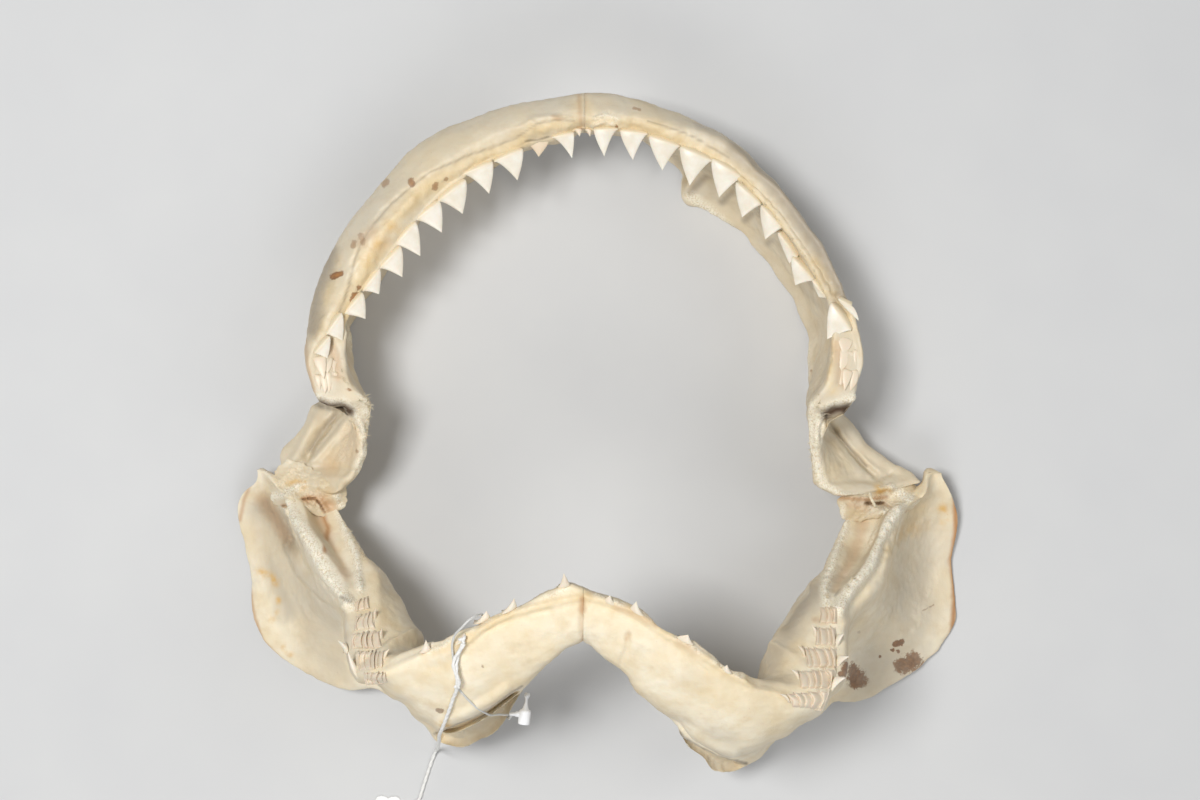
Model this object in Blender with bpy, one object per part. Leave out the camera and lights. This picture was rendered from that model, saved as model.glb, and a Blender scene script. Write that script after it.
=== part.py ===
"""A dried shark jaw, gaping, as it lies on its back: palate side up, lower jaw standing.

The frame is in metres with +Z up. The floor is z = 0. The mouth's midline runs along Y:
the snout end is at +Y, the symphysis of the lower jaw stands up near the middle, and the
joints lie at the sides. Tables are in millimetres, one row for each station along a half:
out (distance from the midline), y and z.
"""

import math

import bpy
import numpy as np

MM = 0.001

# Where the midline and the middle of the length lie in the frame (mm).
MIDLINE_X = -4.05
FRAME_Y = 11.0

# Gaps between the solids (mm).
SUTURE = 0.35
CLEARANCE = 0.30

LEFT, RIGHT = -1, 1

# Fractions of the depth, from the tooth edge to the far edge, where a section has points.
UPPER_OUTER = (0.0, 0.20, 0.50, 0.80)
UPPER_INNER = (0.85, 0.60, 0.35)
LOWER_OUTER = (0.12, 0.35, 0.57, 0.66, 0.85)
LOWER_INNER = (0.85, 0.65, 0.40, 0.20)

# Upper jaw. A row: tooth edge, dorsal edge, labial bulge at each outer level, palatal bulge
# at each inner level, half thickness of the dorsal edge, width of the tooth shelf, rise of
# the labial lip above the tooth edge.
UPPER_LEFT = (
    ((0.0, 79.8, 36), (0.0, 83.5, 20), (5.0, 11.0, 11.0, 6.0), (-2, -3, -3), 3.0, 1.2, 2.5),
    ((13.4, 78.1, 36), (14.0, 82.0, 19), (5.0, 11.0, 11.0, 6.0), (-2, -3, -3), 3.0, 1.2, 2.5),
    ((26.0, 73.3, 36), (27.0, 75.0, 16), (5.5, 12.5, 12.5, 6.0), (-1, -2, -2), 2.6, 1.2, 2.5),
    ((31.0, 70.8, 36), (33.0, 72.0, 0), (5.5, 14.0, 12.0, 5.0), (1, 3, 1), 1.6, 1.2, 2.8),
    ((43.2, 62.6, 36), (47.0, 64.0, 0), (5.5, 15.5, 12.0, 5.0), (1.5, 4, 2), 1.5, 1.2, 3.0),
    ((55.0, 49.1, 37), (58.5, 50.5, 0), (5.5, 15.0, 11.0, 4.5), (1.5, 4, 2), 1.5, 1.2, 3.0),
    ((64.4, 35.7, 38), (66.5, 36.5, 0), (5.0, 14.0, 10.0, 4.0), (1, 3, 2), 1.5, 1.2, 2.5),
    ((73.5, 20.7, 40), (73.5, 20.0, 2), (4.0, 10.0, 8.0, 3.5), (0, 0.5, 0), 1.5, 4.0, 1.5),
    ((79.0, 8.9, 42), (75.0, 8.0, 4.5), (2.5, 4.8, 4.0, 2.0), (-4, -7, -8), 1.5, 9.0, 0.5),
    ((76.5, 0.3, 42), (80.5, 0.0, 6.5), (1.0, 0.5, -3.0, -1.0), (-6, -10, -11), 1.5, 10.0, -1.5),
    ((69.2, -4.6, 38), (86.0, -7.0, 9), (0.8, -2.5, -7.0, -2.5), (-5.5, -10.5, -8), 1.5, 4.5, -1.5),
    ((65.9, -12.5, 33), (90.0, -14.0, 10), (0.6, -1.5, -4.0, -1.0), (-4, -7.5, -6), 1.5, 2.6, -1.5),
    ((68.0, -21.1, 28), (92.3, -20.6, 12.5), (0.6, -0.5, -1.5, 0.0), (-3.5, -6, -5), 1.6, 2.6, -1.5),
    ((73.8, -26.2, 24.5), (88.6, -24.6, 16.5), (1.0, 1.2, 1.2, 0.8), (-2.6, -3.2, -3.0), 1.5, 2.2, -1.0),
)
UPPER_RIGHT = (
    ((0.0, 79.8, 36), (0.0, 83.5, 20), (5.0, 11.0, 11.0, 6.0), (-2, -3, -3), 3.0, 1.2, 2.5),
    ((13.4, 79.8, 36), (14.0, 83.0, 19), (5.0, 10.5, 10.5, 6.0), (-2, -3, -3), 3.0, 1.2, 2.5),
    ((26.0, 76.8, 36), (28.0, 74.0, 15), (4.5, 9.6, 10.0, 6.0), (-1, -2, -2), 2.6, 1.2, 2.5),
    ((31.0, 74.9, 36), (33.0, 65.5, 0), (4.7, 10.2, 9.6, 4.5), (1, 2.5, 1), 1.6, 1.2, 2.8),
    ((45.5, 68.0, 36.5), (45.0, 57.0, 0), (4.2, 9.6, 8.8, 4.0), (1, 2, 1), 1.5, 1.2, 3.0),
    ((57.5, 56.0, 37.5), (53.0, 46.5, 0), (3.5, 6.9, 7.0, 3.5), (0.5, 1.5, 0.5), 1.5, 1.2, 3.0),
    ((67.1, 41.7, 38.5), (61.5, 35.5, 0), (3.0, 5.4, 6.5, 3.5), (0.5, 1, 0), 1.5, 1.2, 2.5),
    ((75.4, 28.4, 40), (70.0, 19.5, 2), (2.3, 4.2, 5.2, 3.5), (0, 0.5, 0), 1.5, 3.0, 1.5),
    ((80.5, 9.0, 42), (72.0, 6.0, 4.5), (1.5, 3.0, 4.0, 3.0), (-3, -6, -7), 1.5, 9.0, 0.5),
    ((79.0, -1.5, 42), (80.5, -1.0, 6.5), (1.0, 0.5, -3.0, -1.0), (-6, -10, -11), 1.5, 10.5, -1.5),
    ((71.5, -6.7, 38), (85.0, -9.5, 9), (0.8, -2.5, -7.0, -2.5), (-5.5, -10.5, -8), 1.5, 5.0, -1.5),
    ((69.0, -14.0, 33), (91.5, -18.0, 10), (0.6, -1.5, -4.0, -1.0), (-4, -7.5, -6), 1.5, 2.6, -1.5),
    ((70.5, -22.0, 28), (98.0, -23.0, 12), (0.6, -0.5, -1.5, 0.0), (-3.5, -6, -5), 1.6, 2.6, -1.5),
    ((76.0, -28.5, 24), (102.5, -25.5, 14), (1.0, 1.2, 1.2, 0.8), (-2.8, -3.6, -3.6), 1.6, 2.4, -1.0),
)

# Lower jaw. A row: tooth edge, ventral edge, labial bulge at each outer level, lingual bulge
# at each inner level, half thickness of the ventral edge, width and depth of the top shelf.
LOWER_LEFT = (
    ((0.0, -53.0, 90), (0.0, -67.0, 62), (6, 10, 7.5, 1.5, 0.5), (-2, -3.5, -4, -4), 1.5, 1.5, 0),
    ((10.4, -55.0, 90), (10.5, -73.0, 55), (6, 11, 8, 1.5, 0.5), (-2, -3.5, -4, -4), 1.5, 1.5, 0),
    ((22.8, -59.5, 88), (21.6, -88.8, 40), (6, 11, 9, 1.5, 0.5), (-2, -3.5, -4, -4), 1.4, 1.5, 0),
    ((35.3, -65.5, 85), (25.5, -96.6, 32), (6, 11, 9, 1.5, 0.5), (-2, -3.5, -4.5, -5), 1.3, 2, 0),
    ((46.6, -71.0, 81), (35.7, -105.2, 22), (5, 9.5, 7.5, 1.5, 0.5), (-3, -5, -7, -7), 1.3, 4, 0),
    ((56.8, -76.9, 76), (44.7, -103.9, 17), (3.5, 5, 2, 0.8, 0.3), (-4, -8.5, -11.5, -12), 1.3, 6, 0),
    ((63.1, -77.0, 70), (57.3, -96.0, 13), (2.5, 2, 0, -0.5, -0.5), (-5, -11, -17, -19), 1.3, 10, 0),
    ((67.7, -68.5, 62), (68.6, -91.5, 9), (1.5, 0, -2.5, -3, -2), (-5, -12, -18, -20), 1.3, 12, 0),
    ((68.4, -57.9, 54), (83.2, -86.5, 5), (1, -3.2, -5.8, -5.8, -3), (-5.5, -12, -18, -20), 1.3, 12, 0),
    ((74.4, -48.0, 44), (100.5, -75.0, 1), (1.5, -3, -5.5, -5.5, -3), (-5.5, -11, -15, -16), 1.3, 11, 2.5),
    ((83.0, -37.0, 32), (107.4, -52.1, 0), (1.2, -4.5, -6.5, -6, -3), (-5.5, -11, -14, -15), 1.3, 14, 5),
    ((86.4, -31.2, 24), (108.2, -34.5, 3), (0.8, -3.0, -4, -3.6, -2), (-4, -8, -11, -13), 1.3, 12.5, 3),
    ((94.5, -26.6, 18), (101.8, -21.5, 11), (0.3, 0.2, 0.2, 0.3, 0.5), (-2, -3, -3.6, -4), 1.3, 3.6, 0),
)
LOWER_RIGHT = (
    ((0.0, -53.0, 90), (0.0, -67.0, 62), (6, 10, 7.5, 1.5, 0.5), (-2, -3.5, -4, -4), 1.5, 1.5, 0),
    ((13.0, -57.0, 90), (12.5, -75.0, 54), (6, 11, 8, 1.5, 0.5), (-2, -3.5, -4, -4), 1.5, 1.5, 0),
    ((25.6, -65.5, 88), (24.0, -92.0, 40), (6, 11, 9, 1.5, 0.5), (-2, -3.5, -4, -4), 1.4, 1.5, 0),
    ((38.0, -72.5, 84.5), (30.5, -102.0, 31), (6, 11, 9, 1.5, 0.5), (-2, -3.5, -4.5, -5), 1.3, 2, 0),
    ((50.0, -79.5, 80.5), (39.5, -112.0, 22), (5, 9, 7, 1.5, 0.5), (-3, -5, -7, -7), 1.3, 4, 0),
    ((61.5, -84.5, 76), (48.0, -112.8, 17), (3.5, 5, 2, 0.8, 0.3), (-4, -9.5, -14, -15.5), 1.3, 6, 0),
    ((70.0, -82.0, 70), (62.5, -103.0, 13), (2.5, 2, 0, -0.5, -0.5), (-5, -12, -19, -22), 1.3, 10, 0),
    ((74.5, -72.5, 63), (76.5, -95.0, 9), (1.5, 0, -2.5, -3, -2), (-5, -12, -18, -20), 1.3, 12, 0),
    ((74.0, -60.0, 54), (94.0, -91.5, 5), (1, -3.2, -5.8, -5.8, -3), (-5.5, -12, -17, -19), 1.3, 12, 0),
    ((81.5, -51.5, 44), (111.5, -79.0, 1), (1.5, -3, -5.5, -5.5, -3), (-5.5, -11, -15, -16), 1.3, 11, 2.5),
    ((88.2, -42.0, 32), (115.8, -61.0, 0), (1.2, -4.5, -6.5, -6, -3), (-5.5, -11, -14, -15), 1.3, 14, 5),
    ((92.7, -34.0, 24), (116.3, -39.5, 3), (0.8, -3.5, -5, -4.5, -2.5), (-4.5, -9, -12, -14.5), 1.3, 14, 4),
    ((103.0, -30.0, 18), (110.2, -23.5, 11), (0.3, 0.2, 0.2, 0.3, 0.5), (-2, -3, -3.6, -4), 1.3, 3.6, 0),
)

RINGS_PER_STATION = 3
FINE_STEPS = 600
SHELF_DROP = 0.5

# Functional upper teeth: place of each along the tooth edge from the midline (mm).
UPPER_TEETH = {
    LEFT: (4.7, 25.3, 35.6, 46.4, 57.0, 67.3, 76.6, 86.5, 95.0, 103.5, 110.0),
    RIGHT: (6.4, 15.2, 24.5, 35.5, 45.5, 56.0, 66.5, 75.5, 84.0, 92.0, 104.0),
}
UPPER_TOOTH_HEIGHT = (9.8, 5.5)
UPPER_TOOTH_WIDTH = (9.0, 7.0)
UPPER_TOOTH_LEAN = (0.4, 2.6)
UPPER_TOOTH_TILT = 0.10
TOOTH_THICKNESS = 2.2
TOOTH_ROOT = (2.6, 0.9)
FAR_TOOTH = 112.0

# Lower teeth: a single row in front, then files of replacement teeth at the corner.
LOWER_FRONT_PITCH = 8.2
LOWER_FRONT_FIRST = 5.3
LOWER_FRONT_COUNT = 6
LOWER_TOOTH_HEIGHT = 4.6
LOWER_TOOTH_WIDTH = 4.6
FILE_FIRST = 66.0
FILE_PITCH = 7.0
FILE_COUNT = 4
FILE_TEETH = 4
FILE_STEP = 3.0
FILE_TOOTH_HEIGHT = 3.0
FILE_TOOTH_WIDTH = 5.6
TALL_FRONT_TOOTH = 7.8

# Dried ligament that fills each joint: out, y and z of its middle, its half sizes and its turn.
LIGAMENT = {
    LEFT: ((84.5, -28.4, 21.0), (8.6, 3.7, 7.0), -2),
    RIGHT: ((90.5, -30.4, 21.0), (10.0, 4.0, 7.0), 2),
}
LUMPS = 0.05

# Cotton string of the label, from a knot over the tooth edge to the floor (frame, mm).
STRING = 1.1
STRING_STEP = 2.9
STRING_ROUTE = (
    (-37.1, -55.7, 86.6),
    (-38.0, -57.7, 85.2),
    (-38.7, -60.0, 84.2),
    (-39.0, -62.2, 83.8),
    (-39.0, -64.6, 83.0),
    (-38.9, -67.0, 81.7),
    (-39.3, -69.3, 79.4),
    (-40.4, -72.0, 76.2),
    (-41.7, -75.6, 72.8),
    (-43.2, -79.4, 68.8),
    (-44.7, -83.0, 63.5),
    (-45.8, -85.4, 57.0),
    (-46.8, -88.5, 45.0),
    (-48.0, -92.0, 31.0),
    (-49.3, -95.6, 19.0),
    (-50.0, -97.2, 12.0),
    (-50.6, -98.2, 5.5),
    (-51.3, -99.6, 1.7),
    (-52.5, -102.6, 0.6),
    (-53.8, -106.4, 0.6),
    (-55.1, -110.4, 0.6),
    (-56.3, -114.2, 0.6),
    (-57.5, -116.6, 0.7),
    (-59.0, -117.9, 1.2),
    (-60.8, -118.8, 1.8),
    (-62.6, -119.2, 2.1),
    (-64.2, -119.4, 2.1),
)
KNOT = (-37.0, -53.6, 87.6)
KNOT_SIZE = (1.4, 1.4, 1.2)
TAG_KNOT = (-66.3, -119.5, 2.1)
TAG_KNOT_SIZE = (1.6, 1.5, 1.2)

# Nylon loop of the label, round the left half of the lower jaw, and its lock pin.
NYLON = 0.64
NYLON_STEP = 1.92
NYLON_ROUTE = (
    (-26.8, -81.2, 46.5),
    (-27.5, -80.9, 48.6),
    (-28.6, -80.2, 52.4),
    (-29.7, -79.5, 57.6),
    (-30.8, -78.7, 63.4),
    (-32.4, -77.1, 68.3),
    (-34.4, -74.9, 73.0),
    (-36.4, -72.6, 75.0),
    (-38.2, -70.1, 77.1),
    (-39.3, -68.4, 78.5),
    (-38.9, -66.4, 80.1),
    (-39.5, -63.1, 82.3),
    (-39.9, -59.8, 83.7),
    (-40.1, -56.9, 85.1),
    (-39.3, -53.4, 87.8),
    (-37.1, -50.8, 90.2),
    (-34.9, -48.6, 90.6),
    (-33.1, -47.6, 89.0),
    (-32.1, -47.7, 86.0),
    (-31.4, -49.0, 81.0),
    (-30.9, -51.2, 75.0),
    (-30.5, -54.6, 67.0),
    (-30.2, -58.6, 59.5),
    (-29.9, -63.4, 52.0),
    (-29.6, -68.6, 44.8),
    (-29.2, -74.0, 38.5),
    (-28.7, -78.9, 33.2),
    (-27.9, -82.6, 31.4),
    (-27.1, -84.0, 34.0),
    (-26.5, -83.6, 39.0),
    (-25.9, -82.4, 42.8),
    (-25.4, -81.7, 44.9),
)

# Lock pin: distance along it from the knob, and radius (mm); then its ends and its barb.
PIN_PROFILE = (
    (0.00, 0.45),
    (0.25, 0.75),
    (0.90, 0.85),
    (1.50, 0.60),
    (1.90, 0.38),
    (2.80, 0.42),
    (4.80, 0.95),
    (5.10, 1.55),
    (5.60, 1.75),
    (8.90, 1.75),
    (9.40, 1.45),
)
PIN_KNOB = (-20.85, -74.8, 46.0)
PIN_FOOT = (-21.95, -84.15, 46.0)
BARB = ((-22.6, -81.1, 46.0), (-26.1, -81.1, 46.3))
BARB_PROFILE = ((0.0, 0.9), (1.6, 0.8), (1.9, 0.5), (3.5, 0.5))

# Card label on the floor: half outline (half width, distance below its head), and its place.
CARD_OUTLINE = (
    (0.0, 0.7),
    (1.0, 0.2),
    (2.2, 0.0),
    (3.4, 0.4),
    (4.0, 1.4),
    (4.3, 2.8),
    (9.5, 7.5),
    (10.5, 8.8),
    (10.5, 37.0),
    (9.5, 38.0),
)
CARD_HEAD = (-66.3, -113.9)
CARD_TURN = 3.0
CARD_THICKNESS = 0.5
CARD_HOLE = (5.6, 1.6)


def material(name, colour, roughness, metallic=0.0):
    """A plain finish for one kind of material."""
    made = bpy.data.materials.get(name)
    if made:
        return made
    made = bpy.data.materials.new(name)
    made.use_nodes = True
    shader = made.node_tree.nodes["Principled BSDF"]
    shader.inputs["Base Color"].default_value = (*colour, 1.0)
    shader.inputs["Roughness"].default_value = roughness
    shader.inputs["Metallic"].default_value = metallic
    return made


def smooth(knots, rows, at):
    """Monotone cubic through rows of numbers at the knots, read at the places asked for."""
    step = np.diff(knots)[:, None]
    slope = np.diff(rows, axis=0) / step
    tangent = np.zeros_like(rows)
    tangent[0] = slope[0]
    tangent[-1] = slope[-1]
    before, after = slope[:-1], slope[1:]
    near, far = 2 * step[1:] + step[:-1], step[1:] + 2 * step[:-1]
    same = before * after > 0
    safe_before = np.where(same, before, 1.0)
    safe_after = np.where(same, after, 1.0)
    tangent[1:-1] = np.where(same, (near + far) / (near / safe_before + far / safe_after), 0.0)
    at = np.asarray(at, float)
    cell = np.clip(np.searchsorted(knots, at, side="right") - 1, 0, len(knots) - 2)
    width = step[cell]
    x = ((at - knots[cell])[:, None]) / width
    low, high = rows[cell], rows[cell + 1]
    return (
        low * (1 + 2 * x) * (1 - x) ** 2
        + tangent[cell] * width * x * (1 - x) ** 2
        + high * x**2 * (3 - 2 * x)
        + tangent[cell + 1] * width * x**2 * (x - 1)
    )


def unit(rows):
    """Rows of vectors at length one."""
    return rows / np.linalg.norm(rows, axis=-1, keepdims=True)


class Half:
    """One half of a jaw: its stations, read anywhere along it."""

    def __init__(self, rows, outer_levels, inner_levels, labial, side):
        self.rows = np.array([np.hstack([np.ravel(cell) for cell in row]) for row in rows])
        self.outer_levels = outer_levels
        self.inner_levels = inner_levels
        self.upper = labial > 0
        self.side = side
        middle = (self.rows[:, 0:3] + self.rows[:, 3:6]) / 2
        stride = np.linalg.norm(np.diff(middle, axis=0), axis=1)
        self.knots = np.concatenate([[0.0], np.cumsum(stride)])
        self.length = self.knots[-1]
        depth = self.rows[:, 3:6] - self.rows[:, 0:3]
        run = np.gradient(middle, self.knots, axis=0)
        run[0] = (1.0, 0.0, 0.0)
        self.bulges = unit(np.cross(run, depth)) * labial
        self.fine = np.linspace(0, self.length, FINE_STEPS)
        steps = np.diff(self.read(self.fine)[:, 0:3], axis=0)
        self.edge_run = np.concatenate([[0.0], np.cumsum(np.linalg.norm(steps, axis=1))])

    def read(self, at):
        """The table's numbers at each place along the half."""
        return smooth(self.knots, self.rows, at)

    def bulge(self, place):
        """The labial direction of the section at one place."""
        return unit(smooth(self.knots, self.bulges, [place])[0])

    def axes(self, place):
        """Tooth edge, and the depth, labial and forward directions, at one place."""
        row = self.read([place])[0]
        ahead = self.read([min(place + 0.5, self.length)])[0]
        behind = self.read([max(place - 0.5, 0.0)])[0]
        depth = unit(row[3:6] - row[0:3])
        along = ahead[0:3] - behind[0:3]
        along = unit(along - depth * np.dot(along, depth))
        return row[0:3], depth, self.bulge(place), along

    def outline(self, row):
        """The section at one place as pairs of depth fraction and bulge in millimetres."""
        outer_count, inner_count = len(self.outer_levels), len(self.inner_levels)
        outer = row[6 : 6 + outer_count]
        inner = row[6 + outer_count : 6 + outer_count + inner_count]
        blunt, shelf, last = row[-3:]
        depth = np.linalg.norm(row[3:6] - row[0:3])
        channel = 0.0 if self.upper else last / depth
        points = [(0.0, 0.0)]
        points += list(zip(self.outer_levels, outer))
        if self.upper:
            points[1] = (-last / depth, outer[0])
        points += [(1.0, blunt), (1.0, -blunt)]
        points += list(zip(self.inner_levels, inner))
        points += [(SHELF_DROP / depth, -shelf), (channel, -shelf / 2)]
        return points

    def ring(self, place):
        """The section at one place as points in millimetres."""
        row = self.read([place])[0]
        depth = row[3:6] - row[0:3]
        bulge = self.bulge(place)
        return np.array([row[0:3] + s * depth + h * bulge for s, h in self.outline(row)])

    def place_of_run(self, run):
        """Where along the half its tooth edge has run this far from the midline."""
        return float(np.interp(run, self.edge_run, self.fine))

    def to_frame(self, points):
        """Points in out, y, z millimetres, as places in the frame."""
        points = np.array(points, float)
        points[:, 0] = MIDLINE_X + self.side * points[:, 0]
        points[:, 1] += FRAME_Y
        return points * MM


def new_object(name, points, faces, finish):
    """A mesh object from points in metres, with its faces turned outwards."""
    mesh = bpy.data.meshes.new(name)
    mesh.from_pydata([tuple(p) for p in points], [], faces)
    mesh.update()
    obj = bpy.data.objects.new(name, mesh)
    bpy.context.scene.collection.objects.link(obj)
    mesh.materials.append(finish)
    if signed_volume(points, faces) < 0:
        mesh.flip_normals()
    mesh.shade_smooth()
    mesh.set_sharp_from_angle(angle=math.radians(50))
    return obj


def signed_volume(points, faces):
    total = 0.0
    points = np.asarray(points, float)
    for face in faces:
        for i in range(1, len(face) - 1):
            a, b, c = points[face[0]], points[face[i]], points[face[i + 1]]
            total += float(np.dot(a, np.cross(b, c)))
    return total / 6


def loft(name, half, finish):
    """The cartilage of one half as a closed loft from the suture to the joint."""
    knots = half.knots
    places = []
    for start, end in zip(knots[:-1], knots[1:]):
        places += list(np.linspace(start, end, RINGS_PER_STATION, endpoint=False))
    places.append(knots[-1])
    rings = [half.ring(place) for place in places]
    rings[0][:, 0] = SUTURE / 2
    for ring in rings[1:]:
        ring[:, 0] = np.maximum(ring[:, 0], SUTURE)
        ring[:, 2] = np.maximum(ring[:, 2], 0.0)
    last = rings[-1]
    centre = last.mean(axis=0)
    run = unit(centre - half.ring(knots[-1] - 2.0).mean(axis=0))
    for shrink, ahead in ((0.75, 1.2), (0.35, 1.9)):
        rings.append(centre + (last - centre) * shrink + run * ahead)
    for ring in rings[-2:]:
        ring[:, 2] = np.maximum(ring[:, 2], 0.0)
    count = len(last)
    points = np.vstack(rings + [rings[-1].mean(axis=0)[None, :]])
    faces = [tuple(range(count))[::-1]]
    for i in range(len(rings) - 1):
        for j in range(count):
            a, b = i * count + j, i * count + (j + 1) % count
            faces.append((a, b, b + count, a + count))
    tip = len(points) - 1
    start = (len(rings) - 1) * count
    for j in range(count):
        faces.append((start + j, start + (j + 1) % count, tip))
    return new_object(name, half.to_frame(points), faces, finish)


class Batch:
    """Many small closed solids in one mesh."""

    def __init__(self):
        self.points = []
        self.faces = []

    def add(self, points, faces):
        start = len(self.points)
        if signed_volume(points, faces) < 0:
            faces = [tuple(reversed(face)) for face in faces]
        self.points += [tuple(p) for p in points]
        self.faces += [tuple(i + start for i in face) for face in faces]


def blade(base, along, up, front, width, height, thickness, root, lean, waist=0.5):
    """A triangular tooth: a root sunk in the jaw, a wide shoulder, a waist and a tip."""
    levels = [(-root, 0.92, 1.0, 0.0), (0.16 * height, 1.0, 1.0, 0.0)]
    if waist:
        levels.append((0.5 * height, waist, 0.75, 0.4 * lean))
    points = []
    for rise, wide, thick, shift in levels:
        centre = base + up * rise + along * shift
        points.append(centre - along * width / 2 * wide)
        points.append(centre + front * thickness / 2 * thick)
        points.append(centre + along * width / 2 * wide)
        points.append(centre - front * thickness / 2 * thick * 0.8)
    points.append(base + up * height + along * lean)
    tip = len(points) - 1
    faces = [(3, 2, 1, 0)]
    for level in range(0, tip - 4, 4):
        for j in range(4):
            k = (j + 1) % 4
            faces.append((level + j, level + k, level + 4 + k, level + 4 + j))
    for j in range(4):
        faces.append((tip - 4 + j, tip - 4 + (j + 1) % 4, tip))
    return points, faces


def mixed(pair, share):
    return pair[0] + (pair[1] - pair[0]) * share


def upper_teeth(half):
    """The functional row of one upper half, pointing into the mouth."""
    batch = Batch()
    for run in UPPER_TEETH[half.side]:
        share = min(1.0, (run / FAR_TOOTH) ** 2)
        edge, depth, bulge, along = half.axes(half.place_of_run(run))
        up = unit(-bulge - depth * UPPER_TOOTH_TILT)
        points, faces = blade(
            base=edge + depth * 1.2 + bulge * 0.6,
            along=along,
            up=up,
            front=np.cross(along, up),
            width=mixed(UPPER_TOOTH_WIDTH, share),
            height=mixed(UPPER_TOOTH_HEIGHT, share),
            thickness=TOOTH_THICKNESS,
            root=mixed(TOOTH_ROOT, share),
            lean=mixed(UPPER_TOOTH_LEAN, share),
        )
        batch.add(half.to_frame(points), faces)
    return batch


def lower_teeth(half):
    """The front row and the files of replacement teeth of one lower half."""
    batch = Batch()
    stretch = half.edge_run[-1] / LOWER_HALF_RUN
    for i in range(LOWER_FRONT_COUNT):
        run = (LOWER_FRONT_FIRST + LOWER_FRONT_PITCH * i) * stretch
        edge, depth, bulge, along = half.axes(half.place_of_run(run))
        tall = i == 0 and half.side == LEFT
        up = unit(-depth - bulge * (0.7 if tall else 0.0))
        points, faces = blade(
            base=edge - bulge * 0.8 + depth * 0.6,
            along=along,
            up=up,
            front=np.cross(along, up),
            width=LOWER_TOOTH_WIDTH,
            height=TALL_FRONT_TOOTH if tall else LOWER_TOOTH_HEIGHT,
            thickness=2.0,
            root=2.2,
            lean=0.4,
        )
        batch.add(half.to_frame(points), faces)
    for i in range(FILE_COUNT):
        place = half.place_of_run((FILE_FIRST + FILE_PITCH * i) * stretch)
        edge, depth, bulge, along = half.axes(place)
        shelf = half.read([place])[0][-2]
        for j in range(FILE_TEETH):
            if FILE_STEP * j > shelf:
                continue
            up = unit(-depth + bulge * (0.9 - 0.2 * j))
            points, faces = blade(
                base=edge - bulge * (0.9 + FILE_STEP * j) + depth * 0.5,
                along=along,
                up=up,
                front=np.cross(along, up),
                width=FILE_TOOTH_WIDTH,
                height=FILE_TOOTH_HEIGHT,
                thickness=1.4,
                root=1.6,
                lean=0.6,
                waist=0,
            )
            batch.add(half.to_frame(points), faces)
    return batch


def turned(profile, foot, head, sides):
    """A solid of revolution: distance and radius pairs measured from one end of an axis."""
    foot, head = np.array(foot), np.array(head)
    axis = unit(head - foot)
    across = unit(np.cross(axis, (0.0, 0.0, 1.0) if abs(axis[2]) < 0.9 else (1.0, 0.0, 0.0)))
    other = np.cross(axis, across)
    points = []
    for distance, radius in profile:
        for i in range(sides):
            angle = 2 * math.pi * i / sides
            way = across * math.cos(angle) + other * math.sin(angle)
            points.append(foot + axis * distance + way * radius)
    faces = [tuple(range(sides))[::-1]]
    for level in range(len(profile) - 1):
        for i in range(sides):
            a, b = level * sides + i, level * sides + (i + 1) % sides
            faces.append((a, b, b + sides, a + sides))
    faces.append(tuple(range((len(profile) - 1) * sides, len(profile) * sides)))
    return np.array(points) * MM, faces


def lump(centre, sizes, turn, lumps, rings, sides):
    """A rounded lump with a slightly uneven surface."""
    points = []
    for level in range(rings + 1):
        polar = math.pi * level / rings
        for i in range(sides if 0 < level < rings else 1):
            angle = 2 * math.pi * i / sides
            swell = 1 + lumps * math.sin(3 * angle + 2 * polar) * math.sin(polar)
            x = sizes[0] * swell * math.sin(polar) * math.cos(angle)
            y = sizes[1] * swell * math.sin(polar) * math.sin(angle)
            z = sizes[2] * swell * math.cos(polar)
            c, s = math.cos(math.radians(turn)), math.sin(math.radians(turn))
            points.append((centre[0] + c * x - s * y, centre[1] + s * x + c * y, centre[2] + z))
    faces = []
    last = len(points) - 1
    for i in range(sides):
        k = (i + 1) % sides
        faces.append((0, 1 + i, 1 + k))
        faces.append((last, last - sides + k, last - sides + i))
        for level in range(rings - 2):
            a, b = 1 + level * sides + i, 1 + level * sides + k
            faces.append((a, a + sides, b + sides, b))
    return np.array(points) * MM, faces


def cord(name, route, diameter, step, finish):
    """A cord along a smooth curve through its route, with evenly spaced points."""
    route = np.array(route, float)
    knots = np.concatenate([[0.0], np.cumsum(np.linalg.norm(np.diff(route, axis=0), axis=1))])
    dense = smooth(knots, route, np.linspace(0, knots[-1], 2000))
    run = np.concatenate([[0.0], np.cumsum(np.linalg.norm(np.diff(dense, axis=0), axis=1))])
    at = np.linspace(0, run[-1], int(round(run[-1] / step)) + 1)
    curve = bpy.data.curves.new(name, "CURVE")
    curve.dimensions = "3D"
    curve.bevel_depth = diameter / 2 * MM
    curve.bevel_resolution = 2
    curve.use_fill_caps = True
    spline = curve.splines.new("POLY")
    spline.points.add(len(at) - 1)
    for i, place in enumerate(at):
        where = [float(np.interp(place, run, dense[:, k])) * MM for k in range(3)]
        spline.points[i].co = (*where, 1.0)
    obj = bpy.data.objects.new(name, curve)
    bpy.context.scene.collection.objects.link(obj)
    curve.materials.append(finish)
    return obj


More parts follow.
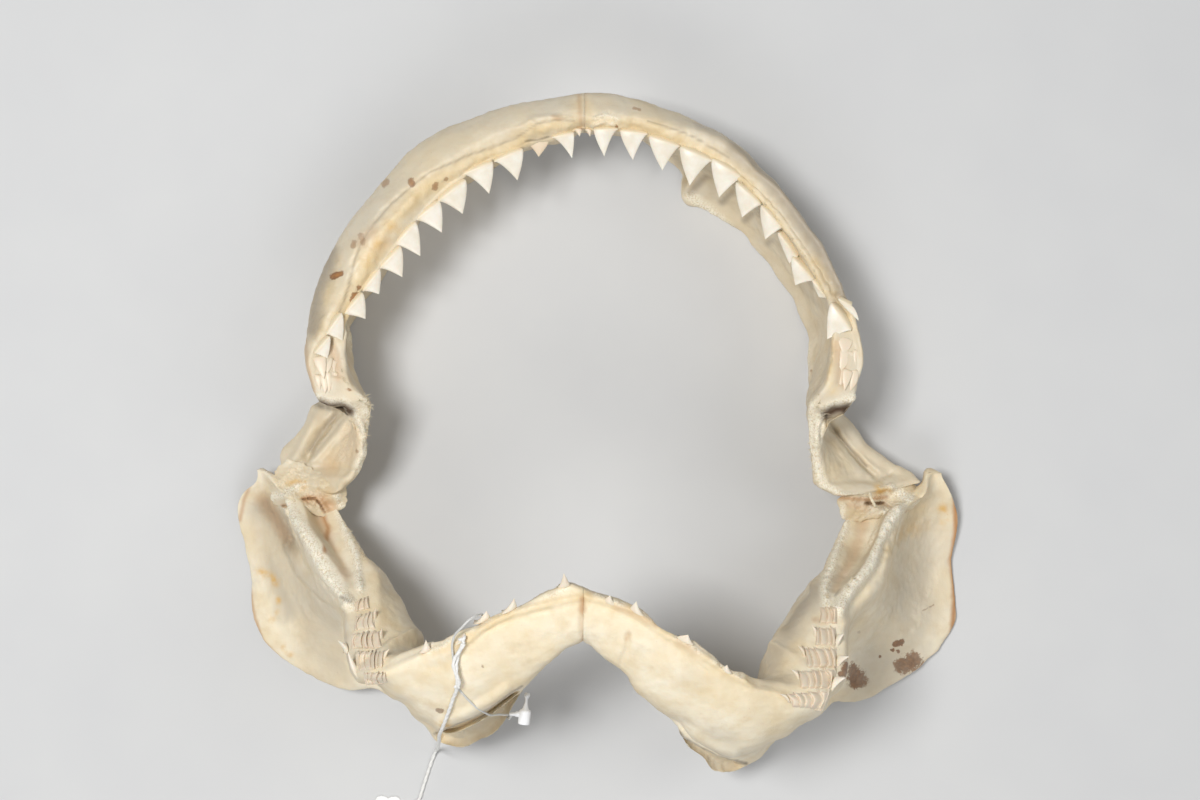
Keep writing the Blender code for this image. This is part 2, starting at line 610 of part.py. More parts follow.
def card(name, finish):
    """The label: a flat card with a narrow two-lobed head and a hole."""
    turn = math.radians(CARD_TURN)
    loop = [(w, d) for w, d in CARD_OUTLINE] + [(-w, d) for w, d in CARD_OUTLINE[:0:-1]]

    def place(w, d, z):
        x = CARD_HEAD[0] + w * math.cos(turn) - d * math.sin(turn)
        y = CARD_HEAD[1] - w * math.sin(turn) - d * math.cos(turn)
        return (x * MM, y * MM, z * MM)

    count = len(loop)
    points = [place(w, d, z) for z in (0.0, CARD_THICKNESS) for w, d in loop]
    faces = [tuple(range(count)), tuple(range(count, 2 * count))[::-1]]
    for i in range(count):
        k = (i + 1) % count
        faces.append((i, i + count, k + count, k))
    obj = new_object(name, points, faces, finish)
    hole_down, hole_radius = CARD_HOLE
    low, high = place(0, hole_down, -1.0), place(0, hole_down, CARD_THICKNESS + 1.0)
    foot, head = np.array(low) / MM, np.array(high) / MM
    profile = ((0.0, hole_radius), (CARD_THICKNESS + 2.0, hole_radius))
    cutter = new_object(name + "_hole", *turned(profile, foot, head, 16), finish)
    cut(obj, cutter)
    return obj


def grown(obj, name):
    """A hidden copy of an object, larger all round by the clearance."""
    copy = bpy.data.objects.new(name, obj.data)
    bpy.context.scene.collection.objects.link(copy)
    swell = copy.modifiers.new("clearance", "DISPLACE")
    swell.strength = CLEARANCE * MM
    swell.mid_level = 0.0
    hide(copy)
    return copy


def cut(obj, cutter):
    """Cuts one object away from another."""
    hide(cutter)
    difference = obj.modifiers.new(cutter.name, "BOOLEAN")
    difference.operation = "DIFFERENCE"
    difference.solver = "EXACT"
    difference.object = cutter


def hide(obj):
    obj.hide_render = True
    obj.display_type = "WIRE"


def join(obj, batch, name, finish):
    """Joins a batch of small solids to an object."""
    cutter = new_object(name, batch.points, batch.faces, finish)
    hide(cutter)
    union = obj.modifiers.new(name, "BOOLEAN")
    union.operation = "UNION"
    union.solver = "EXACT"
    union.use_self = True
    union.object = cutter


for old in list(bpy.data.objects):
    bpy.data.objects.remove(old)

CARTILAGE = material("dried cartilage", (0.78, 0.68, 0.48), 0.5)
SINEW = material("dried ligament", (0.66, 0.55, 0.38), 0.7)
COTTON = material("white cotton", (0.85, 0.85, 0.83), 0.9)
CLEAR_NYLON = material("pale nylon", (0.80, 0.80, 0.78), 0.35)
WHITE_PLASTIC = material("white plastic", (0.86, 0.86, 0.85), 0.4)
CARD = material("white card", (0.88, 0.88, 0.86), 0.8)

upper = {
    LEFT: Half(UPPER_LEFT, UPPER_OUTER, UPPER_INNER, 1, LEFT),
    RIGHT: Half(UPPER_RIGHT, UPPER_OUTER, UPPER_INNER, 1, RIGHT),
}
lower = {
    LEFT: Half(LOWER_LEFT, LOWER_OUTER, LOWER_INNER, -1, LEFT),
    RIGHT: Half(LOWER_RIGHT, LOWER_OUTER, LOWER_INNER, -1, RIGHT),
}
LOWER_HALF_RUN = lower[LEFT].edge_run[-1]

for side, word in ((LEFT, "left"), (RIGHT, "right")):
    top = loft(f"upper_jaw_{word}", upper[side], CARTILAGE)
    low = loft(f"lower_jaw_{word}", lower[side], CARTILAGE)
    middle, sizes, turn = LIGAMENT[side]
    at = upper[side].to_frame([middle])[0] / MM
    pad = new_object(f"jaw_joint_{word}", *lump(at, sizes, turn, LUMPS, 7, 16), SINEW)
    cut(pad, grown(top, f"upper_room_{word}"))
    cut(pad, grown(low, f"lower_room_{word}"))
    join(top, upper_teeth(upper[side]), f"upper_teeth_{word}", CARTILAGE)
    join(low, lower_teeth(lower[side]), f"lower_teeth_{word}", CARTILAGE)

cord("tag_string", STRING_ROUTE, STRING, STRING_STEP, COTTON)
new_object("string_knot", *lump(KNOT, KNOT_SIZE, 20, 0.12, 6, 10), COTTON)
new_object("tag_knot", *lump(TAG_KNOT, TAG_KNOT_SIZE, 40, 0.12, 6, 10), COTTON)
card("tag", CARD)

cord("nylon_loop", NYLON_ROUTE, NYLON, NYLON_STEP, CLEAR_NYLON)
pin = new_object("lock_pin", *turned(PIN_PROFILE, PIN_KNOB, PIN_FOOT, 12), WHITE_PLASTIC)
barb = Batch()
barb.add(*turned(BARB_PROFILE, *BARB, 8))
join(pin, barb, "lock_pin_barb", WHITE_PLASTIC)
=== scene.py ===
"""A dried shark jaw with its label, lying gaping on a pale floor, seen from straight above.

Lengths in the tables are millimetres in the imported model's frame, unless a comment says that
they are pixels of the 1200 by 800 photograph.
"""

import math
import random
import bpy
import numpy as np
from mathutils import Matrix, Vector, noise
from mathutils.bvhtree import BVHTree


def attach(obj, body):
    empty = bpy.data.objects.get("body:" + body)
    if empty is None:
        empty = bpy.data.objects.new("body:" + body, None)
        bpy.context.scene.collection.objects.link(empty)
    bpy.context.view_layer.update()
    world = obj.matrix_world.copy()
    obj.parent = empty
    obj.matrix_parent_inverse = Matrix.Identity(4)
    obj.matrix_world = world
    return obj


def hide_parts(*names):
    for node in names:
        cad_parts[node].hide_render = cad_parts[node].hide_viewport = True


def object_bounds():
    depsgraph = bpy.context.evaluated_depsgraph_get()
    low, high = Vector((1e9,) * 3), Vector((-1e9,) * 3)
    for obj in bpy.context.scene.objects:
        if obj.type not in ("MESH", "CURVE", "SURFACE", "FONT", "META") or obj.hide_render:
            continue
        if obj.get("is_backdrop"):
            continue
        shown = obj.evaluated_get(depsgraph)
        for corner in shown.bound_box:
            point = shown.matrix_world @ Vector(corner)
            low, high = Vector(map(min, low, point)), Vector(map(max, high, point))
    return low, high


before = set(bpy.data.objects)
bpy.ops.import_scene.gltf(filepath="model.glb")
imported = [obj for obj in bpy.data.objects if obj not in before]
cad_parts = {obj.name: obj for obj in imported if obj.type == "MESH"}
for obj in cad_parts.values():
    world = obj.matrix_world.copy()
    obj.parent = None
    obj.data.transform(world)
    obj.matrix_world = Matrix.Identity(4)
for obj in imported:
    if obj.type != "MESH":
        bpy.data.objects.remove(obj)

CAD_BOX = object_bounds()
MM = 0.001
RNG = random.Random(7)

# ---------------------------------------------------------------- camera

# The camera's place, its focal length in pixels, the photograph's size and its middle (pixels).
EYE = np.array((0.45, 11.0, 650.0))
FOCUS = 2060.0
PICTURE = (1200, 800)
MIDDLE_X, MIDDLE_Y = PICTURE[0] // 2, PICTURE[1] // 2
SENSOR = 36.0
CLIP = (0.01, 20.0)

camera = bpy.data.cameras.new("camera")
camera.sensor_width = SENSOR
camera.lens = SENSOR * FOCUS / PICTURE[0]
camera.clip_start, camera.clip_end = CLIP
eye = bpy.data.objects.new("camera", camera)
eye.location = EYE * MM
bpy.context.scene.collection.objects.link(eye)
bpy.context.scene.camera = eye


def at_pixel(px, py, z):
    """The point at height z that the camera sees at a pixel."""
    scale = FOCUS / (EYE[2] - z)
    return np.array((EYE[0] + (px - MIDDLE_X) / scale, EYE[1] + (MIDDLE_Y - py) / scale, z))


def to_pixel(points):
    """The pixels at which the camera sees points."""
    scale = FOCUS / (EYE[2] - points[:, 2])
    across = MIDDLE_X + (points[:, 0] - EYE[0]) * scale
    down = MIDDLE_Y - (points[:, 1] - EYE[1]) * scale
    return np.stack([across, down], axis=1)


# ---------------------------------------------------------------- small tools

NOTHING = 1e-9
FAR_AWAY = 1e9
# How far a seed moves the noise, in features.
NOISE_SHIFT = (13.1, 7.7, 3.3)
GRAIN_SHIFT = (5.3, 9.1, 2.7)
# How fast a fractal's octaves fade, and how much finer each is than the one before.
FRACTAL_FADE, FRACTAL_STEP = 0.9, 2.1
# How fast a grain falls off from its middle.
GRAIN_EDGE = 1.6


def unit(rows):
    """Rows of vectors at length one."""
    length = np.linalg.norm(rows, axis=-1, keepdims=True)
    return rows / np.maximum(length, NOTHING)


def smooth(knots, rows, at):
    """Monotone cubic through rows of numbers at the knots, read at the places asked for."""
    step = np.diff(knots)[:, None]
    slope = np.diff(rows, axis=0) / step
    tangent = np.zeros_like(rows)
    tangent[0] = slope[0]
    tangent[-1] = slope[-1]
    before, after = slope[:-1], slope[1:]
    near, far = 2 * step[1:] + step[:-1], step[1:] + 2 * step[:-1]
    same = before * after > 0
    safe_before = np.where(same, before, 1.0)
    safe_after = np.where(same, after, 1.0)
    tangent[1:-1] = np.where(same, (near + far) / (near / safe_before + far / safe_after), 0.0)
    at = np.asarray(at, float)
    cell = np.clip(np.searchsorted(knots, at, side="right") - 1, 0, len(knots) - 2)
    width = step[cell]
    x = ((at - knots[cell])[:, None]) / width
    low, high = rows[cell], rows[cell + 1]
    return (
        low * (1 + 2 * x) * (1 - x) ** 2
        + tangent[cell] * width * x * (1 - x) ** 2
        + high * x**2 * (3 - 2 * x)
        + tangent[cell + 1] * width * x**2 * (x - 1)
    )


def rough(points, size, octaves=3, seed=0.0):
    """Fractal noise between about -1 and 1 with features of the given size."""
    shift = Vector([seed * part for part in NOISE_SHIFT])
    fractal, basis = noise.fractal, {"noise_basis": "PERLIN_ORIGINAL"}
    places = [Vector(p) / size + shift for p in points]
    return np.array([fractal(p, FRACTAL_FADE, FRACTAL_STEP, octaves, **basis) for p in places])


def grains(points, size, seed=0.0):
    """Rounded grains of the given size: 1 in the middle of each, 0 between them."""
    shift = Vector([seed * part for part in GRAIN_SHIFT])
    values = [noise.voronoi(Vector(p) / size + shift)[0][0] for p in points]
    return np.clip(1.0 - GRAIN_EDGE * np.array(values), 0.0, 1.0)


def fade(distance, width):
    """1 at the line, falling smoothly to 0 at the width."""
    x = np.clip(1.0 - distance / width, 0.0, 1.0)
    return x * x * (3 - 2 * x)


def line_distance(pixels, line):
    """Distance in pixels of many pixels from a polyline."""
    line = np.array(line, float)
    best = np.full(len(pixels), FAR_AWAY)
    if len(line) == 1:
        return np.linalg.norm(pixels - line[0], axis=1)
    for a, b in zip(line[:-1], line[1:]):
        way = b - a
        share = np.clip(((pixels - a) @ way) / max(way @ way, NOTHING), 0.0, 1.0)
        best = np.minimum(best, np.linalg.norm(pixels - (a + share[:, None] * way), axis=1))
    return best


def new_object(name, points, faces, finish=None, layers=None, smooth_shaded=True):
    """A mesh object from points in millimetres."""
    mesh = bpy.data.meshes.new(name)
    points = np.asarray(points, float) * MM
    mesh.from_pydata(points.tolist(), [], faces)
    mesh.update()
    for layer, values in (layers or {}).items():
        made = mesh.attributes.new(layer, "FLOAT", "POINT")
        made.data.foreach_set("value", np.asarray(values, np.float32))
    obj = bpy.data.objects.new(name, mesh)
    bpy.context.scene.collection.objects.link(obj)
    if finish:
        mesh.materials.append(finish)
    if smooth_shaded:
        mesh.shade_smooth()
    return obj


def tube_faces(rows, columns):
    """Faces of a closed tube: quads of a grid that closes round its columns, and two ends."""
    faces = []
    for i in range(rows - 1):
        for j in range(columns):
            a = i * columns + j
            b = i * columns + (j + 1) % columns
            faces.append((a, b, b + columns, a + columns))
    last = (rows - 1) * columns
    faces.append(tuple(range(columns))[::-1])
    faces.append(tuple(range(last, last + columns)))
    return faces


def looking_up(points, faces):
    """The faces, turned over if the first one looks down."""
    a, b, c = [points[k] for k in faces[0][:3]]
    if np.cross(b - a, c - a)[2] < 0:
        return [tuple(reversed(face)) for face in faces]
    return faces


def run_along(path):
    """Length along a path at each of its points."""
    return np.concatenate([[0.0], np.cumsum(np.linalg.norm(np.diff(path, axis=0), axis=1))])


# A direction that no swept path starts along.
SWEEP_SIDE = (0.3, 0.2, 1.0)


def sweep(path, sides, radius_at, twist_per_mm=0.0):
    """Points and faces of a closed tube along a path, with its radius at a run and an angle."""
    path = np.array(path, float)
    run = run_along(path)
    ahead = unit(np.gradient(path, axis=0))
    side = unit(np.cross(ahead[0], SWEEP_SIDE))
    points = []
    for i, centre in enumerate(path):
        side = unit(side - ahead[i] * np.dot(side, ahead[i]))
        other = np.cross(ahead[i], side)
        for k in range(sides):
            angle = 2 * math.pi * k / sides
            radius = radius_at(run[i], angle - twist_per_mm * run[i])
            points.append(centre + radius * (side * math.cos(angle) + other * math.sin(angle)))
    return points, tube_faces(len(path), sides)


# ---------------------------------------------------------------- materials


class Nodes:
    """Short calls for building a material's nodes."""

    def __init__(self, name):
        self.made = bpy.data.materials.new(name)
        self.made.use_nodes = True
        self.tree = self.made.node_tree
        self.shader = self.tree.nodes["Principled BSDF"]
        self.place = self.tree.nodes.new("ShaderNodeTexCoord").outputs["Object"]

    def link(self, source, target):
        self.tree.links.new(source, target)

    def noise(self, scale, detail=3.0, roughness=0.55):
        node = self.tree.nodes.new("ShaderNodeTexNoise")
        node.inputs["Scale"].default_value = scale
        node.inputs["Detail"].default_value = detail
        node.inputs["Roughness"].default_value = roughness
        self.link(self.place, node.inputs["Vector"])
        return node.outputs["Fac"]

    def cells(self, scale):
        node = self.tree.nodes.new("ShaderNodeTexVoronoi")
        node.inputs["Scale"].default_value = scale
        self.link(self.place, node.inputs["Vector"])
        return node.outputs["Distance"]

    def layer(self, name):
        node = self.tree.nodes.new("ShaderNodeAttribute")
        node.attribute_name = name
        return node.outputs["Fac"]

    def span(self, value, low, high, to_low=0.0, to_high=1.0):
        """A value spread from one range to another."""
        node = self.tree.nodes.new("ShaderNodeMapRange")
        node.inputs["From Min"].default_value = low
        node.inputs["From Max"].default_value = high
        node.inputs["To Min"].default_value = to_low
        node.inputs["To Max"].default_value = to_high
        self.link(value, node.inputs["Value"])
        return node.outputs["Result"]

    def maths(self, operation, one, two):
        node = self.tree.nodes.new("ShaderNodeMath")
        node.operation = operation
        for source, socket in ((one, node.inputs[0]), (two, node.inputs[1])):
            if isinstance(source, float):
                socket.default_value = source
            else:
                self.link(source, socket)
        return node.outputs[0]

    def times(self, one, two):
        return self.maths("MULTIPLY", one, two)

    def plus(self, one, two):
        return self.maths("ADD", one, two)

    def mix(self, share, one, two):
        node = self.tree.nodes.new("ShaderNodeMix")
        node.data_type = "RGBA"
        self.link(share, node.inputs["Factor"])
        sockets = [s for s in node.inputs if s.type == "RGBA"]
        for source, socket in ((one, sockets[0]), (two, sockets[1])):
            if isinstance(source, tuple):
                socket.default_value = (*source, 1.0)
            else:
                self.link(source, socket)
        return [s for s in node.outputs if s.type == "RGBA"][0]

    def bump(self, height, distance, strength=1.0):
        node = self.tree.nodes.new("ShaderNodeBump")
        node.inputs["Distance"].default_value = distance
        node.inputs["Strength"].default_value = strength
        self.link(height, node.inputs["Height"])
        self.link(node.outputs["Normal"], self.shader.inputs["Normal"])

    def colour(self, source):
        self.link(source, self.shader.inputs["Base Color"])

    def set(self, **values):
        """Sets the shader's inputs, with _ for a space in their names."""
        for key, value in values.items():
            self.shader.inputs[key.replace("_", " ")].default_value = value


# Colours of the cartilage and its stains; the pit colour is painted shade in the pits among
# the grains, and the last colour is painted shade and shadow.
CREAM = (0.80, 0.68, 0.47)
PALE = (0.88, 0.80, 0.63)
YELLOW = (0.71, 0.535, 0.28)
GREY = (0.52, 0.45, 0.34)
TAN = (0.62, 0.43, 0.26)
DUST = (0.56, 0.46, 0.32)
GRAIN = (0.90, 0.84, 0.69)
PIT_SHADE = (0.66, 0.55, 0.37)
RUST = (0.42, 0.19, 0.06)
BLOTCH = (0.150, 0.070, 0.034)
AMBER = (0.66, 0.38, 0.08)
SHADE = (0.07, 0.035, 0.016)

# Colours of the teeth: enamel in light and dark streaks, root, old teeth, and painted shade in the gaps
# between them.
ENAMEL_LIGHT = (0.82, 0.77, 0.67)
ENAMEL_DARK = (0.74, 0.67, 0.54)
ROOT = (0.75, 0.63, 0.43)
OLD = (0.72, 0.58, 0.41)
GAP_SHADE = (0.43, 0.29, 0.17)

# Noise scales of the cartilage, in features per metre: mottles, spots, dust, grain and torn edges.
BROAD, MIDDLE, DUSTY, FINE, FINEST, TORN = 55.0, 190.0, 95.0, 900.0, 2600.0, 820.0
# Noise scales of the pits among the grains and of the pores, both darkened with painted shade.
PITS, PORES = 1900.0, 420.0
# The same for the teeth: enamel's fine wear and its streaks.
WEAR, STREAKS = 700.0, 260.0


def cartilage_material():
    """Dried cartilage: cream with mottles, under the layers that each piece carries, painted shade among
    them.
    """
    n = Nodes("dried_cartilage")
    broad = n.noise(BROAD, 2.0)
    middle = n.noise(MIDDLE, 4.0)
    fine = n.noise(FINE, 4.0, 0.65)
    base = n.mix(n.span(broad, 0.35, 0.68), CREAM, PALE)
    base = n.mix(n.span(middle, 0.42, 0.80, 0.0, 0.50), base, YELLOW)
    base = n.mix(n.span(n.noise(DUSTY, 5.0, 0.6), 0.52, 0.74, 0.0, 0.32), base, DUST)
    # The gum and grey layers: the cartilage's own yellow and grey tones, and painted shade where they are
    # laid on steep faces and in hollows.
    base = n.mix(n.times(n.layer("gum"), n.span(middle, 0.2, 0.75, 0.35, 1.0)), base, YELLOW)
    base = n.mix(n.times(n.layer("grey"), n.span(broad, 0.3, 0.65, 0.65, 1.0)), base, GREY)
    base = n.mix(n.layer("tan"), base, TAN)
    # Pits among the grains, darkened with painted shade.
    pits = n.span(n.plus(n.cells(PITS), n.span(fine, 0.2, 0.8, -0.25, 0.25)), 0.40, 0.95)
    base = n.mix(n.layer("grain"), base, n.mix(pits, GRAIN, PIT_SHADE))
    base = n.mix(n.times(n.layer("amber"), n.span(middle, 0.35, 0.62)), base, AMBER)
    base = n.mix(n.layer("rust"), base, RUST)
    torn = n.noise(TORN, 5.0, 0.72)
    edge = n.plus(n.layer("stain"), n.span(torn, 0.3, 0.7, -0.46, 0.34))
    patch = n.times(n.span(edge, 0.40, 0.66), n.layer("depth"))
    spot = n.mix(n.plus(n.layer("rust"), n.span(torn, 0.42, 0.62, 0.0, 0.35)), BLOTCH, RUST)
    base = n.mix(n.times(patch, n.span(middle, 0.3, 0.7, 0.80, 1.0)), base, spot)
    # Painted shade and shadow from the shade layer, and painted shade in the pores.
    base = n.mix(n.layer("shade"), base, SHADE)
    base = n.mix(n.span(n.cells(PORES), 0.02, 0.055, 0.35, 0.0), base, SHADE)
    n.colour(base)
    dull = n.span(n.plus(middle, n.layer("grain")), 0.3, 1.2, 0.40, 0.80)
    n.link(dull, n.shader.inputs["Roughness"])
    height = n.plus(n.times(fine, 0.6), n.times(n.noise(FINEST, 2.0), 0.3))
    height = n.plus(height, n.times(n.span(pits, 0.0, 1.0, 0.0, -0.9), n.layer("grain")))
    n.bump(height, 0.00022, 0.7)
    n.set(Subsurface_Weight=0.12, Subsurface_Scale=0.002, Specular_IOR_Level=0.42)
    n.shader.inputs["Subsurface Radius"].default_value = (1.0, 0.6, 0.35)
    return n.made


def tooth_material():
    """Enamel that turns into root, with old teeth, and painted shade in the gaps between them."""
    n = Nodes("tooth_enamel")
    fine = n.noise(WEAR, 3.0)
    streak = n.noise(STREAKS, 3.0)
    enamel = n.mix(n.span(streak, 0.35, 0.7), ENAMEL_LIGHT, ENAMEL_DARK)
    enamel = n.mix(n.layer("root"), enamel, ROOT)
    enamel = n.mix(n.layer("old"), enamel, OLD)
    # Painted shade in the gaps between teeth.
    enamel = n.mix(n.times(n.layer("gap"), n.span(fine, 0.3, 0.6, 0.7, 1.0)), enamel, GAP_SHADE)
    n.colour(enamel)
    worn = n.plus(n.layer("root"), n.times(n.layer("old"), 0.6))
    n.link(n.span(worn, 0.0, 1.0, 0.28, 0.62), n.shader.inputs["Roughness"])
    n.bump(fine, 0.00008, 0.5)
    n.set(Subsurface_Weight=0.08, Subsurface_Scale=0.001, Specular_IOR_Level=0.55)
    return n.made


def plain_material(name, one, two, scale, roughness, bump, **values):
    """Two colours mottled at a scale (features per metre), with a roughness and a bump (m)."""
    n = Nodes(name)
    mottle = n.noise(scale, 3.0)
    n.colour(n.mix(n.span(mottle, 0.3, 0.7), one, two))
    n.bump(n.noise(scale * 3.0, 3.0), bump, 0.6)
    n.set(Roughness=roughness, **values)
    return n.made


CARTILAGE = cartilage_material()
ENAMEL = tooth_material()
COTTON = plain_material("cotton", (0.86, 0.85, 0.82), (0.74, 0.73, 0.69),
                        scale=1500.0, roughness=0.9, bump=0.0002)
NYLON = plain_material("nylon", (0.78, 0.78, 0.75), (0.72, 0.72, 0.69),
                       scale=300.0, roughness=0.3, bump=0.00002, Transmission_Weight=0.25)
PLASTIC = plain_material("pin_plastic", (0.93, 0.94, 0.95), (0.88, 0.89, 0.90),
                         scale=350.0, roughness=0.35, bump=0.00005)
CARD = plain_material("card", (0.88, 0.88, 0.86), (0.83, 0.83, 0.81),
                      scale=900.0, roughness=0.8, bump=0.00006)
FIBRE = plain_material("fibre", (0.82, 0.74, 0.55), (0.70, 0.60, 0.42),
                       scale=900.0, roughness=0.8, bump=0.00005)

# ---------------------------------------------------------------- cords

# The label's string: thickness, spacing of its sections and one turn of its two strands (mm);
# and the sides of its section, and of that of its second strand.
STRING = 1.1
STRING_STEP = 0.4
STRING_TURN = 5.2
STRING_SIDES, RETURN_SIDES = 16, 12
STRING_ROUTE = (
    (-37.1, -55.7, 86.6),
    (-38.0, -57.7, 85.2),
    (-38.7, -60.0, 84.2),
    (-39.0, -62.2, 83.8),
    (-39.0, -64.6, 83.0),
    (-38.9, -67.0, 81.7),
    (-39.3, -69.3, 79.4),
    (-40.4, -72.0, 76.2),
    (-41.7, -75.6, 72.8),
    (-43.2, -79.4, 68.8),
    (-44.7, -83.0, 63.5),
    (-45.8, -85.4, 57.0),
    (-46.8, -88.5, 45.0),
    (-48.0, -92.0, 31.0),
    (-49.3, -95.6, 19.0),
    (-50.0, -97.2, 12.0),
    (-50.6, -98.2, 5.5),
    (-51.3, -99.6, 1.7),
    (-52.5, -102.6, 0.6),
    (-53.8, -106.4, 0.6),
    (-55.1, -110.4, 0.6),
    (-56.3, -114.2, 0.6),
    (-57.5, -116.6, 0.7),
    (-59.0, -117.9, 1.2),
    (-60.8, -118.8, 1.8),
    (-62.6, -119.2, 2.1),
    (-64.2, -119.4, 2.1),
)
# The nylon loop's thickness and the spacing of its points (mm).
NYLON_THICK = 0.64
NYLON_STEP = 0.9
NYLON_ROUTE = (
    (-26.8, -81.2, 46.5),
    (-27.5, -80.9, 48.6),
    (-28.6, -80.2, 52.4),
    (-29.7, -79.5, 57.6),
    (-30.8, -78.7, 63.4),
    (-32.4, -77.1, 68.3),
    (-34.4, -74.9, 73.0),
    (-36.4, -72.6, 75.0),
    (-38.2, -70.1, 77.1),
    (-39.3, -68.4, 78.5),
    (-38.9, -66.4, 80.1),
    (-39.5, -63.1, 82.3),
    (-39.9, -59.8, 83.7),
    (-40.1, -56.9, 85.1),
    (-39.3, -53.4, 87.8),
    (-37.1, -50.8, 90.2),
    (-34.9, -48.6, 90.6),
    (-33.1, -47.6, 89.0),
    (-32.1, -47.7, 86.0),
    (-31.4, -49.0, 81.0),
    (-30.9, -51.2, 75.0),
    (-30.5, -54.6, 67.0),
    (-30.2, -58.6, 59.5),
    (-29.9, -63.4, 52.0),
    (-29.6, -68.6, 44.8),
    (-29.2, -74.0, 38.5),
    (-28.7, -78.9, 33.2),
    (-27.9, -82.6, 31.4),
    (-27.1, -84.0, 34.0),
    (-26.5, -83.6, 39.0),
    (-25.9, -82.4, 42.8),
    (-25.4, -81.7, 44.9),
)
# Steps in which a route is measured.
FINE_STEPS = 3000
# A two-ply cord's radius in the valley between its strands and what a strand adds (shares).
PLY_VALLEY, PLY_RISE = 0.74, 0.26


def route_points(route, step):
    """Evenly spaced points on the smooth curve through a route, and its length."""
    route = np.array(route, float)
    knots = run_along(route)
    dense = smooth(knots, route, np.linspace(0, knots[-1], FINE_STEPS))
    run = run_along(dense)
    at = np.linspace(0, run[-1], int(round(run[-1] / step)) + 1)
    return np.stack([np.interp(at, run, dense[:, k]) for k in range(3)], axis=1), run[-1]


def two_ply(_, angle):
    """Radius of a cord laid from two twisted strands."""
    return STRING / 2 * (PLY_VALLEY + PLY_RISE * abs(math.cos(angle)))


string_path, string_length = route_points(STRING_ROUTE, STRING_STEP)
points, faces = sweep(string_path, STRING_SIDES, two_ply, 2 * math.pi / STRING_TURN)
string = new_object("label_string", points, faces, COTTON)

nylon_path, nylon_length = route_points(NYLON_ROUTE, NYLON_STEP)
curve = bpy.data.curves.new("label_loop", "CURVE")
curve.dimensions = "3D"
curve.bevel_depth = NYLON_THICK / 2 * MM
curve.bevel_resolution = 4
curve.use_fill_caps = True
spline = curve.splines.new("POLY")
spline.points.add(len(nylon_path) - 1)
for i, p in enumerate(nylon_path):
    spline.points[i].co = (*(p * MM), 1.0)
loop = bpy.data.objects.new("label_loop", curve)
bpy.context.scene.collection.objects.link(loop)
curve.materials.append(NYLON)

# ---------------------------------------------------------------- cartilage

# Where the tables' midline and zero lie in the frame, and the gap between the halves (mm).
MIDLINE_X = -4.05
FRAME_Y = 11.0
SUTURE = -0.2
LEFT, RIGHT = -1, 1
# Fractions of the depth, from the tooth edge to the far edge, where a section has points.
UPPER_OUTER = (0.0, 0.20, 0.50, 0.80)
UPPER_INNER = (0.85, 0.60, 0.35)
LOWER_OUTER = (0.12, 0.35, 0.57, 0.66, 0.85)
LOWER_INNER = (0.85, 0.65, 0.40, 0.20)

# Sections of each half, from the midline to the joint: its tooth edge and its far edge (aside,
# forward and up), how far the outer and then the inner face bulge at those fractions, half the
# far edge's thickness, the tooth edge's width, and the rise of its lip (upper jaw) or the depth
# of its channel (lower jaw). The bulges start behind the six coordinates of the two edges.
FIRST_BULGE = 6
UPPER_LEFT = (
    ((0.0, 79.8, 36), (0.0, 83.5, 20), (5.0, 11.0, 11.0, 6.0), (-2, -3, -3), 3.0, 1.2, 2.5),
    ((13.4, 78.1, 36), (14.0, 82.0, 19), (5.0, 11.0, 11.0, 6.0), (-2, -3, -3), 3.0, 1.2, 2.5),
    ((26.0, 73.3, 36), (27.0, 75.0, 16), (5.5, 12.5, 12.5, 6.0), (-1, -2, -2), 2.6, 1.2, 2.5),
    ((31.0, 70.8, 36), (33.0, 72.0, 0), (5.5, 14.0, 12.0, 5.0), (1, 3, 1), 1.6, 1.2, 2.8),
    ((43.2, 62.6, 36), (47.0, 64.0, 0), (5.5, 15.5, 12.0, 5.0), (1.5, 4, 2), 1.5, 1.2, 3.0),
    ((55.0, 49.1, 37), (58.5, 50.5, 0), (5.5, 15.0, 11.0, 4.5), (1.5, 4, 2), 1.5, 1.2, 3.0),
    ((64.4, 35.7, 38), (66.5, 36.5, 0), (5.0, 14.0, 10.0, 4.0), (1, 3, 2), 1.5, 1.2, 2.5),
    ((73.5, 20.7, 40), (73.5, 20.0, 2), (4.0, 10.0, 8.0, 3.5), (0, 0.5, 0), 1.5, 4.0, 1.5),
    ((79.0, 8.9, 42), (75.0, 8.0, 4.5), (2.5, 4.8, 4.0, 2.0), (-4, -7, -8), 1.5, 9.0, 0.5),
    ((76.5, 0.3, 42), (80.5, 0.0, 6.5), (1.0, 0.5, -3.0, -1.0), (-6, -10, -11), 1.5, 10.0, -1.5),
    ((69.2, -4.6, 38), (86.0, -7.0, 9), (0.8, -2.5, -7.0, -2.5), (-5.5, -10.5, -8), 1.5, 4.5, -1.5),
    ((65.9, -12.5, 33), (90.0, -14.0, 10), (0.6, -1.5, -4.0, -1.0), (-4, -7.5, -6), 1.5, 2.6, -1.5),
    ((68.0, -21.1, 28), (92.3, -20.6, 12.5), (0.6, -0.5, -1.5, 0.0), (-3.5, -6, -5), 1.6, 2.6, -1.5),
    ((73.8, -26.2, 24.5), (88.6, -24.6, 16.5), (1.0, 1.2, 1.2, 0.8), (-2.6, -3.2, -3.0), 1.5, 2.2, -1.0),
)
